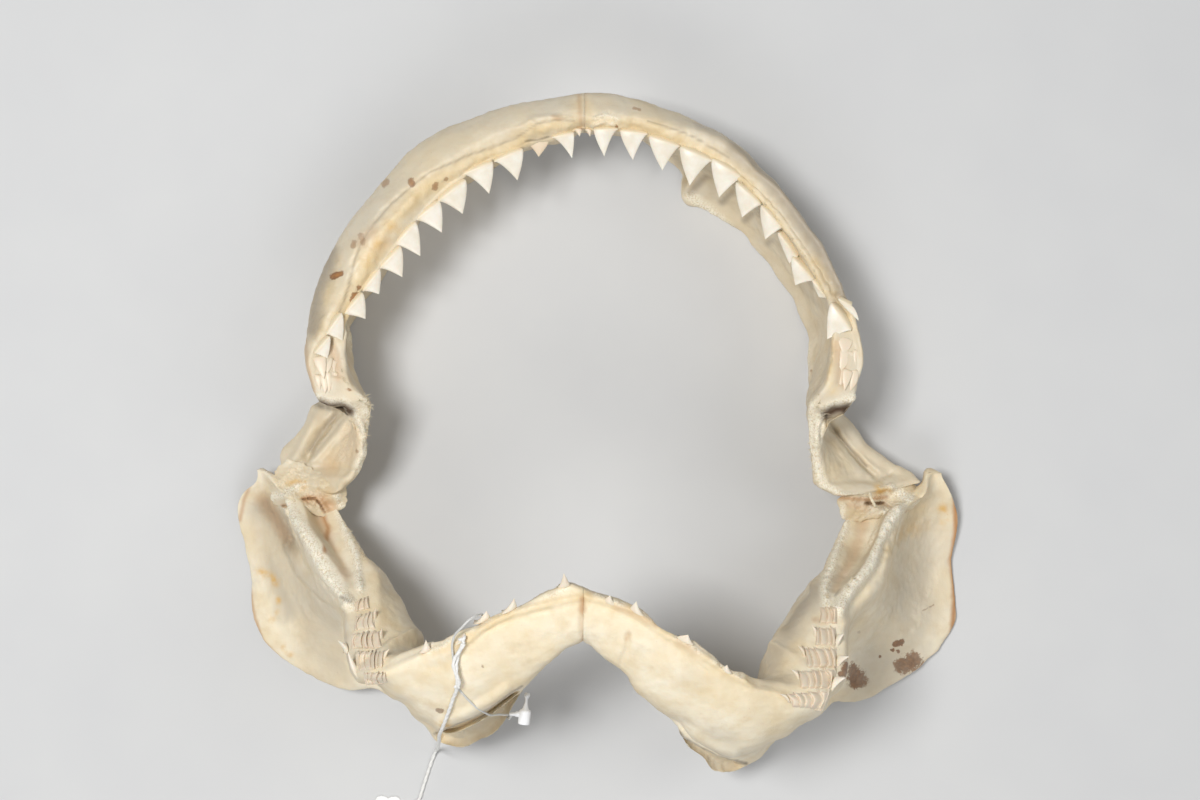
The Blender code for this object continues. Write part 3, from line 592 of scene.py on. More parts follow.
UPPER_RIGHT = (
    ((0.0, 79.8, 36), (0.0, 83.5, 20), (5.0, 11.0, 11.0, 6.0), (-2, -3, -3), 3.0, 1.2, 2.5),
    ((13.4, 79.8, 36), (14.0, 83.0, 19), (5.0, 10.5, 10.5, 6.0), (-2, -3, -3), 3.0, 1.2, 2.5),
    ((26.0, 76.8, 36), (28.0, 74.0, 15), (4.5, 9.6, 10.0, 6.0), (-1, -2, -2), 2.6, 1.2, 2.5),
    ((31.0, 74.9, 36), (33.0, 65.5, 0), (4.7, 10.2, 9.6, 4.5), (1, 2.5, 1), 1.6, 1.2, 2.8),
    ((45.5, 68.0, 36.5), (45.0, 57.0, 0), (4.2, 9.6, 8.8, 4.0), (1, 2, 1), 1.5, 1.2, 3.0),
    ((57.5, 56.0, 37.5), (53.0, 46.5, 0), (3.5, 6.9, 7.0, 3.5), (0.5, 1.5, 0.5), 1.5, 1.2, 3.0),
    ((67.1, 41.7, 38.5), (61.5, 35.5, 0), (3.0, 5.4, 6.5, 3.5), (0.5, 1, 0), 1.5, 1.2, 2.5),
    ((75.4, 28.4, 40), (70.0, 19.5, 2), (2.3, 4.2, 5.2, 3.5), (0, 0.5, 0), 1.5, 3.0, 1.5),
    ((80.5, 9.0, 42), (72.0, 6.0, 4.5), (1.5, 3.0, 4.0, 3.0), (-3, -6, -7), 1.5, 9.0, 0.5),
    ((79.0, -1.5, 42), (80.5, -1.0, 6.5), (1.0, 0.5, -3.0, -1.0), (-6, -10, -11), 1.5, 10.5, -1.5),
    ((71.5, -6.7, 38), (85.0, -9.5, 9), (0.8, -2.5, -7.0, -2.5), (-5.5, -10.5, -8), 1.5, 5.0, -1.5),
    ((69.0, -14.0, 33), (91.5, -18.0, 10), (0.6, -1.5, -4.0, -1.0), (-4, -7.5, -6), 1.5, 2.6, -1.5),
    ((70.5, -22.0, 28), (98.0, -23.0, 12), (0.6, -0.5, -1.5, 0.0), (-3.5, -6, -5), 1.6, 2.6, -1.5),
    ((76.0, -28.5, 24), (102.5, -25.5, 14), (1.0, 1.2, 1.2, 0.8), (-2.8, -3.6, -3.6), 1.6, 2.4, -1.0),
)
LOWER_LEFT = (
    ((0.0, -53.0, 90), (0.0, -67.0, 62), (6, 10, 7.5, 1.5, 0.5), (-2, -3.5, -4, -4), 1.5, 1.5, 0),
    ((10.4, -55.0, 90), (10.5, -73.0, 55), (6, 11, 8, 1.5, 0.5), (-2, -3.5, -4, -4), 1.5, 1.5, 0),
    ((22.8, -59.5, 88), (21.6, -88.8, 40), (6, 11, 9, 1.5, 0.5), (-2, -3.5, -4, -4), 1.4, 1.5, 0),
    ((35.3, -65.5, 85), (25.5, -96.6, 32), (6, 11, 9, 1.5, 0.5), (-2, -3.5, -4.5, -5), 1.3, 2, 0),
    ((46.6, -71.0, 81), (35.7, -105.2, 22), (5, 9.5, 7.5, 1.5, 0.5), (-3, -5, -7, -7), 1.3, 4, 0),
    ((56.8, -76.9, 76), (44.7, -103.9, 17), (3.5, 5, 2, 0.8, 0.3), (-4, -8.5, -11.5, -12), 1.3, 6, 0),
    ((63.1, -77.0, 70), (57.3, -96.0, 13), (2.5, 2, 0, -0.5, -0.5), (-5, -11, -17, -19), 1.3, 10, 0),
    ((67.7, -68.5, 62), (68.6, -91.5, 9), (1.5, 0, -2.5, -3, -2), (-5, -12, -18, -20), 1.3, 12, 0),
    ((68.4, -57.9, 54), (83.2, -86.5, 5), (1, -3.2, -5.8, -5.8, -3), (-5.5, -12, -18, -20), 1.3, 12, 0),
    ((74.4, -48.0, 44), (100.5, -75.0, 1), (1.5, -3, -5.5, -5.5, -3), (-5.5, -11, -15, -16), 1.3, 11, 2.5),
    ((83.0, -37.0, 32), (107.4, -52.1, 0), (1.2, -4.5, -6.5, -6, -3), (-5.5, -11, -14, -15), 1.3, 14, 5),
    ((86.4, -31.2, 24), (108.2, -34.5, 3), (0.8, -3.0, -4, -3.6, -2), (-4, -8, -11, -13), 1.3, 12.5, 3),
    ((94.5, -26.6, 18), (101.8, -21.5, 11), (0.3, 0.2, 0.2, 0.3, 0.5), (-2, -3, -3.6, -4), 1.3, 3.6, 0),
)
LOWER_RIGHT = (
    ((0.0, -53.0, 90), (0.0, -67.0, 62), (6, 10, 7.5, 1.5, 0.5), (-2, -3.5, -4, -4), 1.5, 1.5, 0),
    ((13.0, -57.0, 90), (12.5, -75.0, 54), (6, 11, 8, 1.5, 0.5), (-2, -3.5, -4, -4), 1.5, 1.5, 0),
    ((25.6, -65.5, 88), (24.0, -92.0, 40), (6, 11, 9, 1.5, 0.5), (-2, -3.5, -4, -4), 1.4, 1.5, 0),
    ((38.0, -72.5, 84.5), (30.5, -102.0, 31), (6, 11, 9, 1.5, 0.5), (-2, -3.5, -4.5, -5), 1.3, 2, 0),
    ((50.0, -79.5, 80.5), (39.5, -112.0, 22), (5, 9, 7, 1.5, 0.5), (-3, -5, -7, -7), 1.3, 4, 0),
    ((61.5, -84.5, 76), (48.0, -112.8, 17), (3.5, 5, 2, 0.8, 0.3), (-4, -9.5, -14, -15.5), 1.3, 6, 0),
    ((70.0, -82.0, 70), (62.5, -103.0, 13), (2.5, 2, 0, -0.5, -0.5), (-5, -12, -19, -22), 1.3, 10, 0),
    ((74.5, -72.5, 63), (76.5, -95.0, 9), (1.5, 0, -2.5, -3, -2), (-5, -12, -18, -20), 1.3, 12, 0),
    ((74.0, -60.0, 54), (94.0, -91.5, 5), (1, -3.2, -5.8, -5.8, -3), (-5.5, -12, -17, -19), 1.3, 12, 0),
    ((81.5, -51.5, 44), (111.5, -79.0, 1), (1.5, -3, -5.5, -5.5, -3), (-5.5, -11, -15, -16), 1.3, 11, 2.5),
    ((88.2, -42.0, 32), (115.8, -61.0, 0), (1.2, -4.5, -6.5, -6, -3), (-5.5, -11, -14, -15), 1.3, 14, 5),
    ((92.7, -34.0, 24), (116.3, -39.5, 3), (0.8, -3.5, -5, -4.5, -2.5), (-4.5, -9, -12, -14.5), 1.3, 14, 4),
    ((103.0, -30.0, 18), (110.2, -23.5, 11), (0.3, 0.2, 0.2, 0.3, 0.5), (-2, -3, -3.6, -4), 1.3, 3.6, 0),
)

LAYERS = ("gum", "grey", "tan", "grain", "amber", "rust", "stain", "depth", "shade")

# Spacing of the grid along a half and round it, and the drop of the tooth edge's shelf (mm).
RING_STEP = 0.50
ROUND_STEP = 0.50
SHELF_DROP = 0.5
COARSE = 1.0
# Which points the camera sees: cell (pixels), how far below the highest point of its cell a
# point may lie, over how much it fades (mm), rounds of blur, and the picture's widest side.
SEEN_CELL = 2.0
SEEN_DEPTH = 3.6
SEEN_FADE = 2.0
SEEN_BLUR = 6
SEEN_SPAN = 2000
# Where a half starts to be drawn in beside the seam (mm), and by how much.
TUCK_RUN = 1.6
TUCK = 0.012
# Normals that face the camera: least rise, and how fast the forms and the paint set in.
FACING_FROM, FACING_RATE = 0.02, 4.0
PAINT_FROM, PAINT_RATE = 0.06, 6.0
# How much a lifted form leans towards the camera.
LIFT_UP = 1.6
# How far from the seam the relief sets in, and the height of the gum's lumps (mm).
SEAM_SMOOTH = 7.0
LUMPY_GUM = 0.42
# Closing rings at the joint end: share of the last ring, and how far on they lie (mm); and over
# how much of the half its end's direction is taken (mm).
END_CAP = ((0.97, 0.5), (0.90, 0.9), (0.75, 1.3), (0.52, 1.65), (0.25, 1.9))
END_RUN = 2.0
# Shortest chord root between two points of a section, and the chord that sets how many points
# a segment gets, in percent of all its chords.
SHORT_CHORD = 1e-3
LONG_CHORD = 75


def closed_curve(rings, counts):
    """Closed smooth curves through rings of points, with a number of steps to each segment."""
    total = rings.shape[1]
    parts = []
    for k in range(total):
        a, b = rings[:, k - 1], rings[:, k]
        c, d = rings[:, (k + 1) % total], rings[:, (k + 2) % total]
        before = np.maximum(np.linalg.norm(b - a, axis=1, keepdims=True) ** 0.5, SHORT_CHORD)
        here = np.maximum(np.linalg.norm(c - b, axis=1, keepdims=True) ** 0.5, SHORT_CHORD)
        after = np.maximum(np.linalg.norm(d - c, axis=1, keepdims=True) ** 0.5, SHORT_CHORD)
        start = here * ((b - a) / before - (c - a) / (before + here) + (c - b) / here)
        stop = here * ((c - b) / here - (d - b) / (here + after) + (d - c) / after)
        for x in np.arange(counts[k]) / counts[k]:
            parts.append(
                b * (1 + 2 * x) * (1 - x) ** 2
                + start * x * (1 - x) ** 2
                + c * x * x * (3 - 2 * x)
                + stop * x * x * (x - 1)
            )
    return np.stack(parts, axis=1)


class Half:
    """One half of a jaw as a fine grid of points, with its painted layers."""

    def __init__(self, rows, outer_levels, inner_levels, labial, side):
        self.rows = np.array([np.hstack([np.ravel(cell) for cell in row]) for row in rows])
        self.outer_levels = outer_levels
        self.inner_levels = inner_levels
        self.upper = labial > 0
        self.side = side
        middle = (self.rows[:, 0:3] + self.rows[:, 3:6]) / 2
        self.knots = run_along(middle)
        self.length = self.knots[-1]
        depth = self.rows[:, 3:6] - self.rows[:, 0:3]
        run = np.gradient(middle, self.knots, axis=0)
        run[0] = (1.0, 0.0, 0.0)
        self.bulges = unit(np.cross(run, depth)) * labial
        self.make_grid()

    def outline(self, rows):
        """Depth fraction and bulge of each section point, for each row."""
        outer_count, inner_count = len(self.outer_levels), len(self.inner_levels)
        count = len(rows)
        outer = rows[:, FIRST_BULGE : FIRST_BULGE + outer_count]
        inner = rows[:, FIRST_BULGE + outer_count : FIRST_BULGE + outer_count + inner_count]
        blunt, shelf, last = rows[:, -3], rows[:, -2], rows[:, -1]
        depth = np.linalg.norm(rows[:, 3:6] - rows[:, 0:3], axis=1)
        channel = np.zeros(count) if self.upper else last / depth
        levels = [np.zeros(count)] + [np.full(count, v) for v in self.outer_levels]
        heights = [np.zeros(count)] + [outer[:, k] for k in range(outer_count)]
        if self.upper:
            levels[1] = -last / depth
        levels += [np.ones(count), np.ones(count)]
        heights += [blunt, -blunt]
        levels += [np.full(count, v) for v in self.inner_levels]
        heights += [inner[:, k] for k in range(inner_count)]
        levels += [SHELF_DROP / depth, channel]
        heights += [-shelf, -shelf / 2]
        return np.stack(levels, axis=1), np.stack(heights, axis=1)

    def make_grid(self):
        """The points of the half: smooth sections along it, closed at the joint end."""
        count = int(self.length / (RING_STEP * COARSE))
        places = np.linspace(0, self.length, count)
        rows = smooth(self.knots, self.rows, places)
        bulge = unit(smooth(self.knots, self.bulges, places))
        levels, heights = self.outline(rows)
        edge, depth = rows[:, 0:3], rows[:, 3:6] - rows[:, 0:3]
        rings = (
            edge[:, None, :]
            + levels[:, :, None] * depth[:, None, :]
            + heights[:, :, None] * bulge[:, None, :]
        )
        chords = np.linalg.norm(np.roll(rings, -1, axis=1) - rings, axis=2)
        chords = np.percentile(chords, LONG_CHORD, axis=0)
        counts = np.maximum(2, np.round(chords / (ROUND_STEP * COARSE)).astype(int))
        fine = closed_curve(rings, counts)
        fine[:, :, 0] = np.maximum(fine[:, :, 0], SUTURE / 2)
        near = np.clip(places / TUCK_RUN, 0, 1)
        tuck = (1 - TUCK * (1 - near) ** 2)[:, None, None]
        centre = fine.mean(axis=1, keepdims=True)
        fine = centre + (fine - centre) * tuck
        fine[0, :, 0] = SUTURE / 2
        last = fine[-1]
        middle = last.mean(axis=0)
        back = fine[-1 - max(1, int(END_RUN / (RING_STEP * COARSE)))].mean(axis=0)
        run = unit(middle - back)
        caps = [middle + (last - middle) * shrink + run * ahead for shrink, ahead in END_CAP]
        fine = np.concatenate([fine, np.array(caps)])
        self.rings, self.columns = fine.shape[0], fine.shape[1]
        grid = fine.reshape(-1, 3)
        grid[:, 0] = MIDLINE_X + self.side * grid[:, 0]
        grid[:, 1] += FRAME_Y
        self.points = grid
        self.reset()

    def reset(self):
        """Normals and pixels of the present points."""
        grid = self.points.reshape(self.rings, self.columns, 3)
        along = np.gradient(grid, axis=0)
        around = (np.roll(grid, -1, axis=1) - np.roll(grid, 1, axis=1)) / 2
        normal = unit(np.cross(around, along)).reshape(-1, 3)
        centre = np.repeat(grid.mean(axis=1), self.columns, axis=0)
        if np.mean(np.einsum("ij,ij->i", normal, self.points - centre)) < 0:
            normal = -normal
        self.normals = normal
        self.pixels = to_pixel(self.points)
        self.facing = np.clip((normal[:, 2] - FACING_FROM) * FACING_RATE, 0.0, 1.0)
        cells = np.clip(np.floor(self.pixels / SEEN_CELL).astype(int), 0, SEEN_SPAN)
        index = cells[:, 0] * (SEEN_SPAN + 1) + cells[:, 1]
        nearest = np.full(index.max() + 1, -FAR_AWAY)
        np.maximum.at(nearest, index, self.points[:, 2])
        behind = nearest[index] - self.points[:, 2]
        seen = np.clip((SEEN_DEPTH - behind) / SEEN_FADE, 0.0, 1.0)
        seen = seen.reshape(self.rings, self.columns)
        for _ in range(SEEN_BLUR):
            seen = (np.roll(seen, 1, axis=1) + 2 * seen + np.roll(seen, -1, axis=1)) / 4
            padded = np.pad(seen, ((1, 1), (0, 0)), mode="edge")
            seen = (padded[:-2] + 2 * seen + padded[2:]) / 4
        self.seen = seen.ravel()
        self.layers = getattr(self, "layers", {})
        for layer in LAYERS:
            self.layers.setdefault(layer, np.zeros(len(self.points)))

    def push(self, amount):
        """Moves the points along their normals, not below the floor or across the midline."""
        self.points = self.points + self.normals * np.asarray(amount)[:, None]
        self.points[:, 2] = np.maximum(self.points[:, 2], 0.0)
        inside = MIDLINE_X + self.side * SUTURE / 2
        if self.side > 0:
            self.points[:, 0] = np.maximum(self.points[:, 0], inside)
        else:
            self.points[:, 0] = np.minimum(self.points[:, 0], inside)

    def lift(self, amount):
        """Moves the points partly along their normals and partly towards the camera."""
        way = unit(self.normals + (0.0, 0.0, LIFT_UP))
        normals, self.normals = self.normals, way
        self.push(amount)
        self.normals = normals

    def paint(self, layer, amount):
        """Raises a layer to the amount where it is lower."""
        self.layers[layer] = np.clip(np.maximum(self.layers[layer], amount), 0.0, 1.0)

    def faces(self):
        """Faces that look outwards."""
        faces = tube_faces(self.rings, self.columns)
        grid = self.points
        a, b, c = grid[faces[0][0]], grid[faces[0][1]], grid[faces[0][2]]
        if np.dot(np.cross(b - a, c - a), self.normals[faces[0][0]]) < 0:
            faces = [tuple(reversed(face)) for face in faces]
        return faces


halves = {
    "upper_jaw_left": Half(UPPER_LEFT, UPPER_OUTER, UPPER_INNER, 1, LEFT),
    "upper_jaw_right": Half(UPPER_RIGHT, UPPER_OUTER, UPPER_INNER, 1, RIGHT),
    "lower_jaw_left": Half(LOWER_LEFT, LOWER_OUTER, LOWER_INNER, -1, LEFT),
    "lower_jaw_right": Half(LOWER_RIGHT, LOWER_OUTER, LOWER_INNER, -1, RIGHT),
}

# ---------------------------------------------------------------- teeth of the upper jaw

# Each tooth: its two base corners, the one nearer the snout last, and its tip (pixels); and
# how far it stands out above the gum, where that isn't by the usual amount (mm).
UPPER_TEETH = {
    LEFT: (
        ((552, 138), (574, 133), (571.5, 157)),
        ((525, 143), (550, 139), (538.5, 155.5), -1.8),
        ((494, 162), (523, 149), (517, 179)),
        ((463, 175), (493, 162), (488.5, 192.5)),
        ((438, 202), (466, 180), (462, 212.5)),
        ((415.5, 221), (440, 201), (441, 231.5)),
        ((395.5, 245.5), (416, 222), (419.5, 255)),
        ((380, 269), (401, 246.5), (401.5, 276)),
        ((363, 292), (380, 269), (378.5, 293)),
        ((343.5, 316), (363, 293), (364.5, 318)),
        ((326.5, 335), (342, 313), (342, 339.5), 0.9),
        ((314.5, 354), (330, 336.5), (327, 357.5), 0.9),
    ),
    RIGHT: (
        ((618.5, 129.5), (593.5, 130), (604.5, 155)),
        ((648, 134.5), (620, 131), (633, 158.5)),
        ((680, 147), (649, 136.5), (662.5, 169)),
        ((712, 161.5), (680, 147), (690, 184)),
        ((742, 178.5), (712, 159), (719.5, 196)),
        ((761, 205.5), (736, 182.5), (742.5, 216)),
        ((781.5, 228.5), (761, 205.5), (765.5, 238)),
        ((797, 258), (777, 231), (789, 262), 1.2),
        ((815, 282), (792, 257), (796, 284), 1.6),
        ((828, 300), (812, 280), (819, 296), 1.4),
        ((851, 331), (831, 303), (828, 338), 1.9),
        ((852, 306), (838, 299), (858, 320), 2.4),
    ),
}


# The root: rings of points, how it dips into the gum, narrows and thins downwards, what share
# of its length it reaches down, and over how many millimetres its colour turns into enamel.
ROOT_ROWS = 5
DIP_CURVE = 1.9
DIP_MIDDLE, DIP_ENDS, DIP_NARROW = 0.72, 0.60, 4
ROOT_NARROW, ROOT_THIN = 0.15, 0.25
ROOT_SHORT = 0.35
ROOT_BLEND = 1.8
# The blade: where its rings crowd, spacing, depth and extent of its serrations (mm and shares of
# its height), how it thins to the tip and bows back, and how blunt the tip stays.
RING_CURVE = 1.05
SERRATION, SERRATION_DEPTH = 0.6, 0.05
SERRATED_FROM, SERRATED_TO = 0.05, 0.93
THIN_CURVE = 0.8
BOW_BACK = 0.12
TIP_SHARE = 0.995
# The blade's section: how full it is, and the bulge of its labial and its lingual face.
LENS_FULL = 0.25
LABIAL, LINGUAL = 0.75, 1.15


def tooth(corner_a, corner_b, tip, face, thick, root, notch, belly, rows=30, columns=12):
    """A blade between two base corners and a tip, with its labial face along the face vector.

    Corner a is the distal one. The edges are hollow where notch or belly is below 1, and full
    where they are above it.
    """
    corner_a, corner_b, tip = np.array(corner_a), np.array(corner_b), np.array(tip)
    middle = (corner_a + corner_b) / 2
    along = unit(corner_b - corner_a)
    half = np.linalg.norm(corner_b - corner_a) / 2
    up = unit((tip - middle) - along * np.dot(tip - middle, along))
    height = np.dot(tip - middle, up)
    lean = np.dot(tip - middle, along)
    front = np.cross(along, up)
    if np.dot(front, face) < 0:
        front = -front
    below = list(-root * np.linspace(1, 0, ROOT_ROWS + 1)[:-1])
    above = list(height * np.linspace(0, 1, rows) ** RING_CURVE)
    points, root_layer = [], []
    for level in below + above:
        share = min(max(level / height, 0.0), TIP_SHARE)
        sunk = max(-level, 0.0) / root
        mesial = half - (half - lean) * share**belly
        distal = -half + (half + lean) * share**notch
        serrated = SERRATED_FROM < share < SERRATED_TO
        wave = SERRATION_DEPTH * math.sin(level * 2 * math.pi / SERRATION) * serrated
        middle_x = (mesial + distal) / 2
        width = ((mesial - distal) / 2 + wave) * (1 - ROOT_NARROW * sunk)
        bulk = thick / 2 * (1 - share) ** THIN_CURVE * (1 - ROOT_THIN * sunk)
        bend = -BOW_BACK * height * share**2
        for k in range(columns * 2):
            angle = 2 * math.pi * k / (columns * 2)
            lens = math.sin(angle) * abs(math.sin(angle)) ** LENS_FULL
            bow = bulk * lens * (LABIAL if lens > 0 else LINGUAL)
            dip = root * sunk**DIP_CURVE * (DIP_MIDDLE + DIP_ENDS * math.cos(angle) ** DIP_NARROW)
            points.append(middle + along * (middle_x + math.cos(angle) * width)
                          + up * level * (1 - ROOT_SHORT * (level < 0))
                          + front * (bow + bend - dip))
            root_layer.append(min(1.0, max(0.0, 0.5 - level / ROOT_BLEND)))
    return np.array(points), tube_faces(len(below) + rows, columns * 2), np.array(root_layer)


class Batch:
    """Many small solids in one mesh."""

    def __init__(self):
        self.points, self.faces, self.root, self.old, self.gap = [], [], [], [], []

    def add(self, points, faces, root, old=0.0, gap=None):
        start = len(self.points)
        self.points += list(points)
        self.faces += [tuple(i + start for i in face) for face in faces]
        self.root += list(root)
        self.old += [old] * len(points)
        self.gap += [0.0] * len(points) if gap is None else list(gap)

    def make(self, name, finish):
        # The gap layer holds painted shade between the teeth.
        layers = {"root": self.root, "old": self.old, "gap": self.gap}
        return new_object(name, self.points, self.faces, finish, layers)


# The two lobes of each root that swell the gum: height (mm), and in shares of the tooth's width
# their places along it, their distance behind it and their reach.
ROOT_LOBE = 0.5
LOBE_PLACES = (0.24, 0.76)
LOBE_BEHIND = 0.30
LOBE_REACH = 0.40

for side, word in ((LEFT, "left"), (RIGHT, "right")):
    half = halves[f"upper_jaw_{word}"]
    for row in UPPER_TEETH[side]:
        a, b, tip = [np.array(point, float) for point in row[:3]]
        outward = unit((a + b) / 2 - tip)
        size = np.linalg.norm(b - a)
        for share in LOBE_PLACES:
            lobe = a + (b - a) * share + outward * LOBE_BEHIND * size
            away = np.linalg.norm(half.pixels - lobe, axis=1)
            half.push(ROOT_LOBE * fade(away, LOBE_REACH * size) * half.facing)

# ---------------------------------------------------------------- carving and painting

# Lines that several forms and marks share (pixels).
CREASE_LEFT = ((574, 121), (556, 120), (536, 124), (516, 138), (487, 149), (464, 157), (447, 165),
               (430, 172), (412, 186), (391, 204), (377, 220), (365, 236), (355, 258), (350, 282),
               (344, 302), (334, 322))
GUM_LEFT = ((574, 126), (556, 126), (533, 131), (516, 147), (487, 156), (466, 167), (446, 178),
            (430, 187), (412, 201), (396, 219), (383, 236), (373, 254), (363, 275), (354, 300),
            (341, 322))
CREASE_RIGHT = ((600, 119), (622, 119), (648, 121), (668, 127), (692, 136), (729, 158), (756, 181),
                (779, 209), (798, 236), (815, 262), (830, 286), (843, 306))
GUM_RIGHT = ((592, 125), (622, 126), (650, 129), (676, 138), (703, 152), (728, 170), (750, 192),
             (772, 219), (790, 246), (808, 272), (822, 293))
HOOK_LEFT = ((314, 398), (325, 403), (341, 403), (353, 411), (361, 425), (365, 437))
HOOK_RIGHT = ((858, 396), (845, 404), (833, 405), (824, 412), (819, 421), (817, 432), (817, 444))
RIDGE_LEFT = ((286, 504), (299, 526), (312, 546), (326, 574), (349, 603))
RIDGE_RIGHT = ((897, 510), (878, 538), (871, 563), (853, 584), (839, 608))
INNER_RIDGE_RIGHT = ((848, 508), (844, 532), (833, 562), (824, 588), (827, 606))
RIM_RIGHT = ((586, 597), (608, 601), (634, 611), (656, 626), (680, 642), (706, 658), (752, 684))
HOLLOW_RIGHT = ((836, 345), (842, 362), (842, 382))
CHIN_LEFT = ((462, 652), (446, 664), (430, 668))
FLANGE_LEFT = ((434, 734), (441, 731), (465, 722), (489, 709), (507, 696), (522, 686))
FLANGE_RIGHT = ((678, 732), (684, 738), (699, 747), (717, 756), (732, 761), (746, 763))

# The forms of each half. Ridge or groove: line (pixels), half width (pixels), height (mm).
# Step: line, sign of the side that is lowered, widths of the drop and of its run-out (pixels),
# depth (mm). Flap: line, sign of the side that is raised, width of its torn edge (pixels),
# height (mm).
CARVED = {
    "upper_jaw_left": (
        ("flap", CREASE_LEFT, 1, 2.4, 0.42),
        ("ridge", GUM_LEFT, 7.5, 0.55),
        ("ridge", ((530, 120), (548, 117), (572, 121)), 5.0, 0.45),
        ("ridge", ((519, 128), (531, 122), (540, 126)), 4.0, 0.40),
        ("step", HOOK_LEFT, 1, 4.0, 30.0, 2.6),
        ("ridge", HOOK_LEFT, 5.0, 0.9),
        ("groove", ((340, 410), (336, 414), (322, 431), (313, 444), (306, 457)), 7.0, 2.2),
        ("ridge", ((320, 412), (310, 430), (302, 446), (292, 464)), 8.0, 1.2),
        ("ridge", ((350, 418), (338, 434), (324, 450), (313, 462)), 7.0, 1.2),
        ("groove", ((300, 462), (318, 466), (340, 467), (356, 472)), 5.0, 0.7),
        ("ridge", ((304, 474), (326, 478), (350, 480)), 7.0, 0.8),
        ("groove", ((329, 340), (335, 358), (337, 374)), 7.0, 1.4),
        ("groove", ((392, 158), (420, 140), (455, 122), (500, 110)), 12.0, 0.25),
    ),
    "upper_jaw_right": (
        ("flap", CREASE_RIGHT, 1, 2.4, 0.36),
        ("ridge", GUM_RIGHT, 7.0, 0.45),
        ("ridge", ((594, 119), (606, 114), (617, 119)), 3.2, 0.7),
        ("ridge", ((592, 126), (603, 122), (612, 124)), 2.8, 0.6),
        ("groove", ((594, 122), (605, 118), (616, 122)), 1.8, 0.5),
        ("step", HOOK_RIGHT, -1, 4.0, 30.0, 2.6),
        ("ridge", HOOK_RIGHT, 5.0, 0.9),
        ("groove", ((826, 416), (838, 434), (852, 451), (866, 466), (876, 474)), 5.5, 1.9),
        ("ridge", ((846, 420), (860, 444), (878, 458), (898, 468)), 8.0, 0.9),
        ("ridge", ((824, 430), (836, 448), (850, 464), (862, 472)), 8.0, 0.6),
        ("groove", ((832, 482), (852, 479), (874, 480), (889, 474)), 5.0, 0.9),
        ("ridge", ((822, 488), (846, 497), (869, 498)), 6.0, 0.9),
        ("groove", HOLLOW_RIGHT, 7.0, 1.0),
    ),
    "lower_jaw_left": (
        ("ridge", RIDGE_LEFT, 9.5, 2.2),
        ("ridge", ((336, 500), (345, 528), (357, 556), (360, 588)), 6.5, 1.3),
        ("groove", ((316, 506), (326, 530), (338, 554), (350, 580)), 8.0, 0.5),
        ("ridge", ((287, 545), (300, 573), (322, 595), (345, 608)), 6.5, 1.5),
        ("groove", ((292, 540), (306, 568), (326, 586)), 4.0, 0.8),
        ("ridge", ((363, 602), (366, 640), (372, 678)), 23.0, 0.9),
        ("groove", ((262, 520), (266, 560), (282, 600), (310, 636)), 16.0, 0.8),
        ("groove", ((584, 600), (582, 622), (584, 643)), 6.0, 0.35),
        ("ridge", ((583, 597), (560, 601), (540, 606), (515, 613), (497, 620), (479, 630), (466, 642)),
         6.0, 0.7),
        ("groove", ((580, 603), (556, 609), (532, 614), (506, 622), (486, 632), (470, 646)), 3.0, 0.45),
        ("groove", CHIN_LEFT, 8.0, 0.4),
        ("step", FLANGE_LEFT, 1, 2.4, 90.0, 6.5),
        ("ridge", ((440, 724), (465, 714), (489, 701), (507, 689)), 9.0, 1.2),
    ),
    "lower_jaw_right": (
        ("ridge", RIDGE_RIGHT, 10.5, 2.3),
        ("ridge", INNER_RIDGE_RIGHT, 5.5, 1.4),
        ("groove", ((862, 512), (858, 538), (848, 564), (836, 588)), 7.5, 0.8),
        ("ridge", ((887, 556), (880, 584), (860, 604), (846, 622)), 8.0, 1.0),
        ("groove", ((884, 548), (877, 572), (864, 590), (848, 606)), 5.0, 0.8),
        ("ridge", ((829, 612), (822, 650), (808, 700)), 24.0, 0.9),
        ("groove", ((930, 530), (926, 570), (908, 610), (880, 646)), 18.0, 0.9),
        ("groove", ((583, 600), (585, 622), (585, 643)), 6.0, 0.35),
        ("ridge", RIM_RIGHT, 6.0, 0.7),
        ("groove", ((590, 604), (612, 610), (636, 621), (658, 637), (684, 654), (706, 670)), 3.0, 0.4),
        ("groove", ((621, 664), (628, 646), (628, 636)), 5.0, 0.6),
        ("step", FLANGE_RIGHT, 1, 2.4, 90.0, 7.0),
        ("ridge", ((684, 730), (699, 739), (717, 748), (734, 753)), 9.0, 1.2),
    ),
}
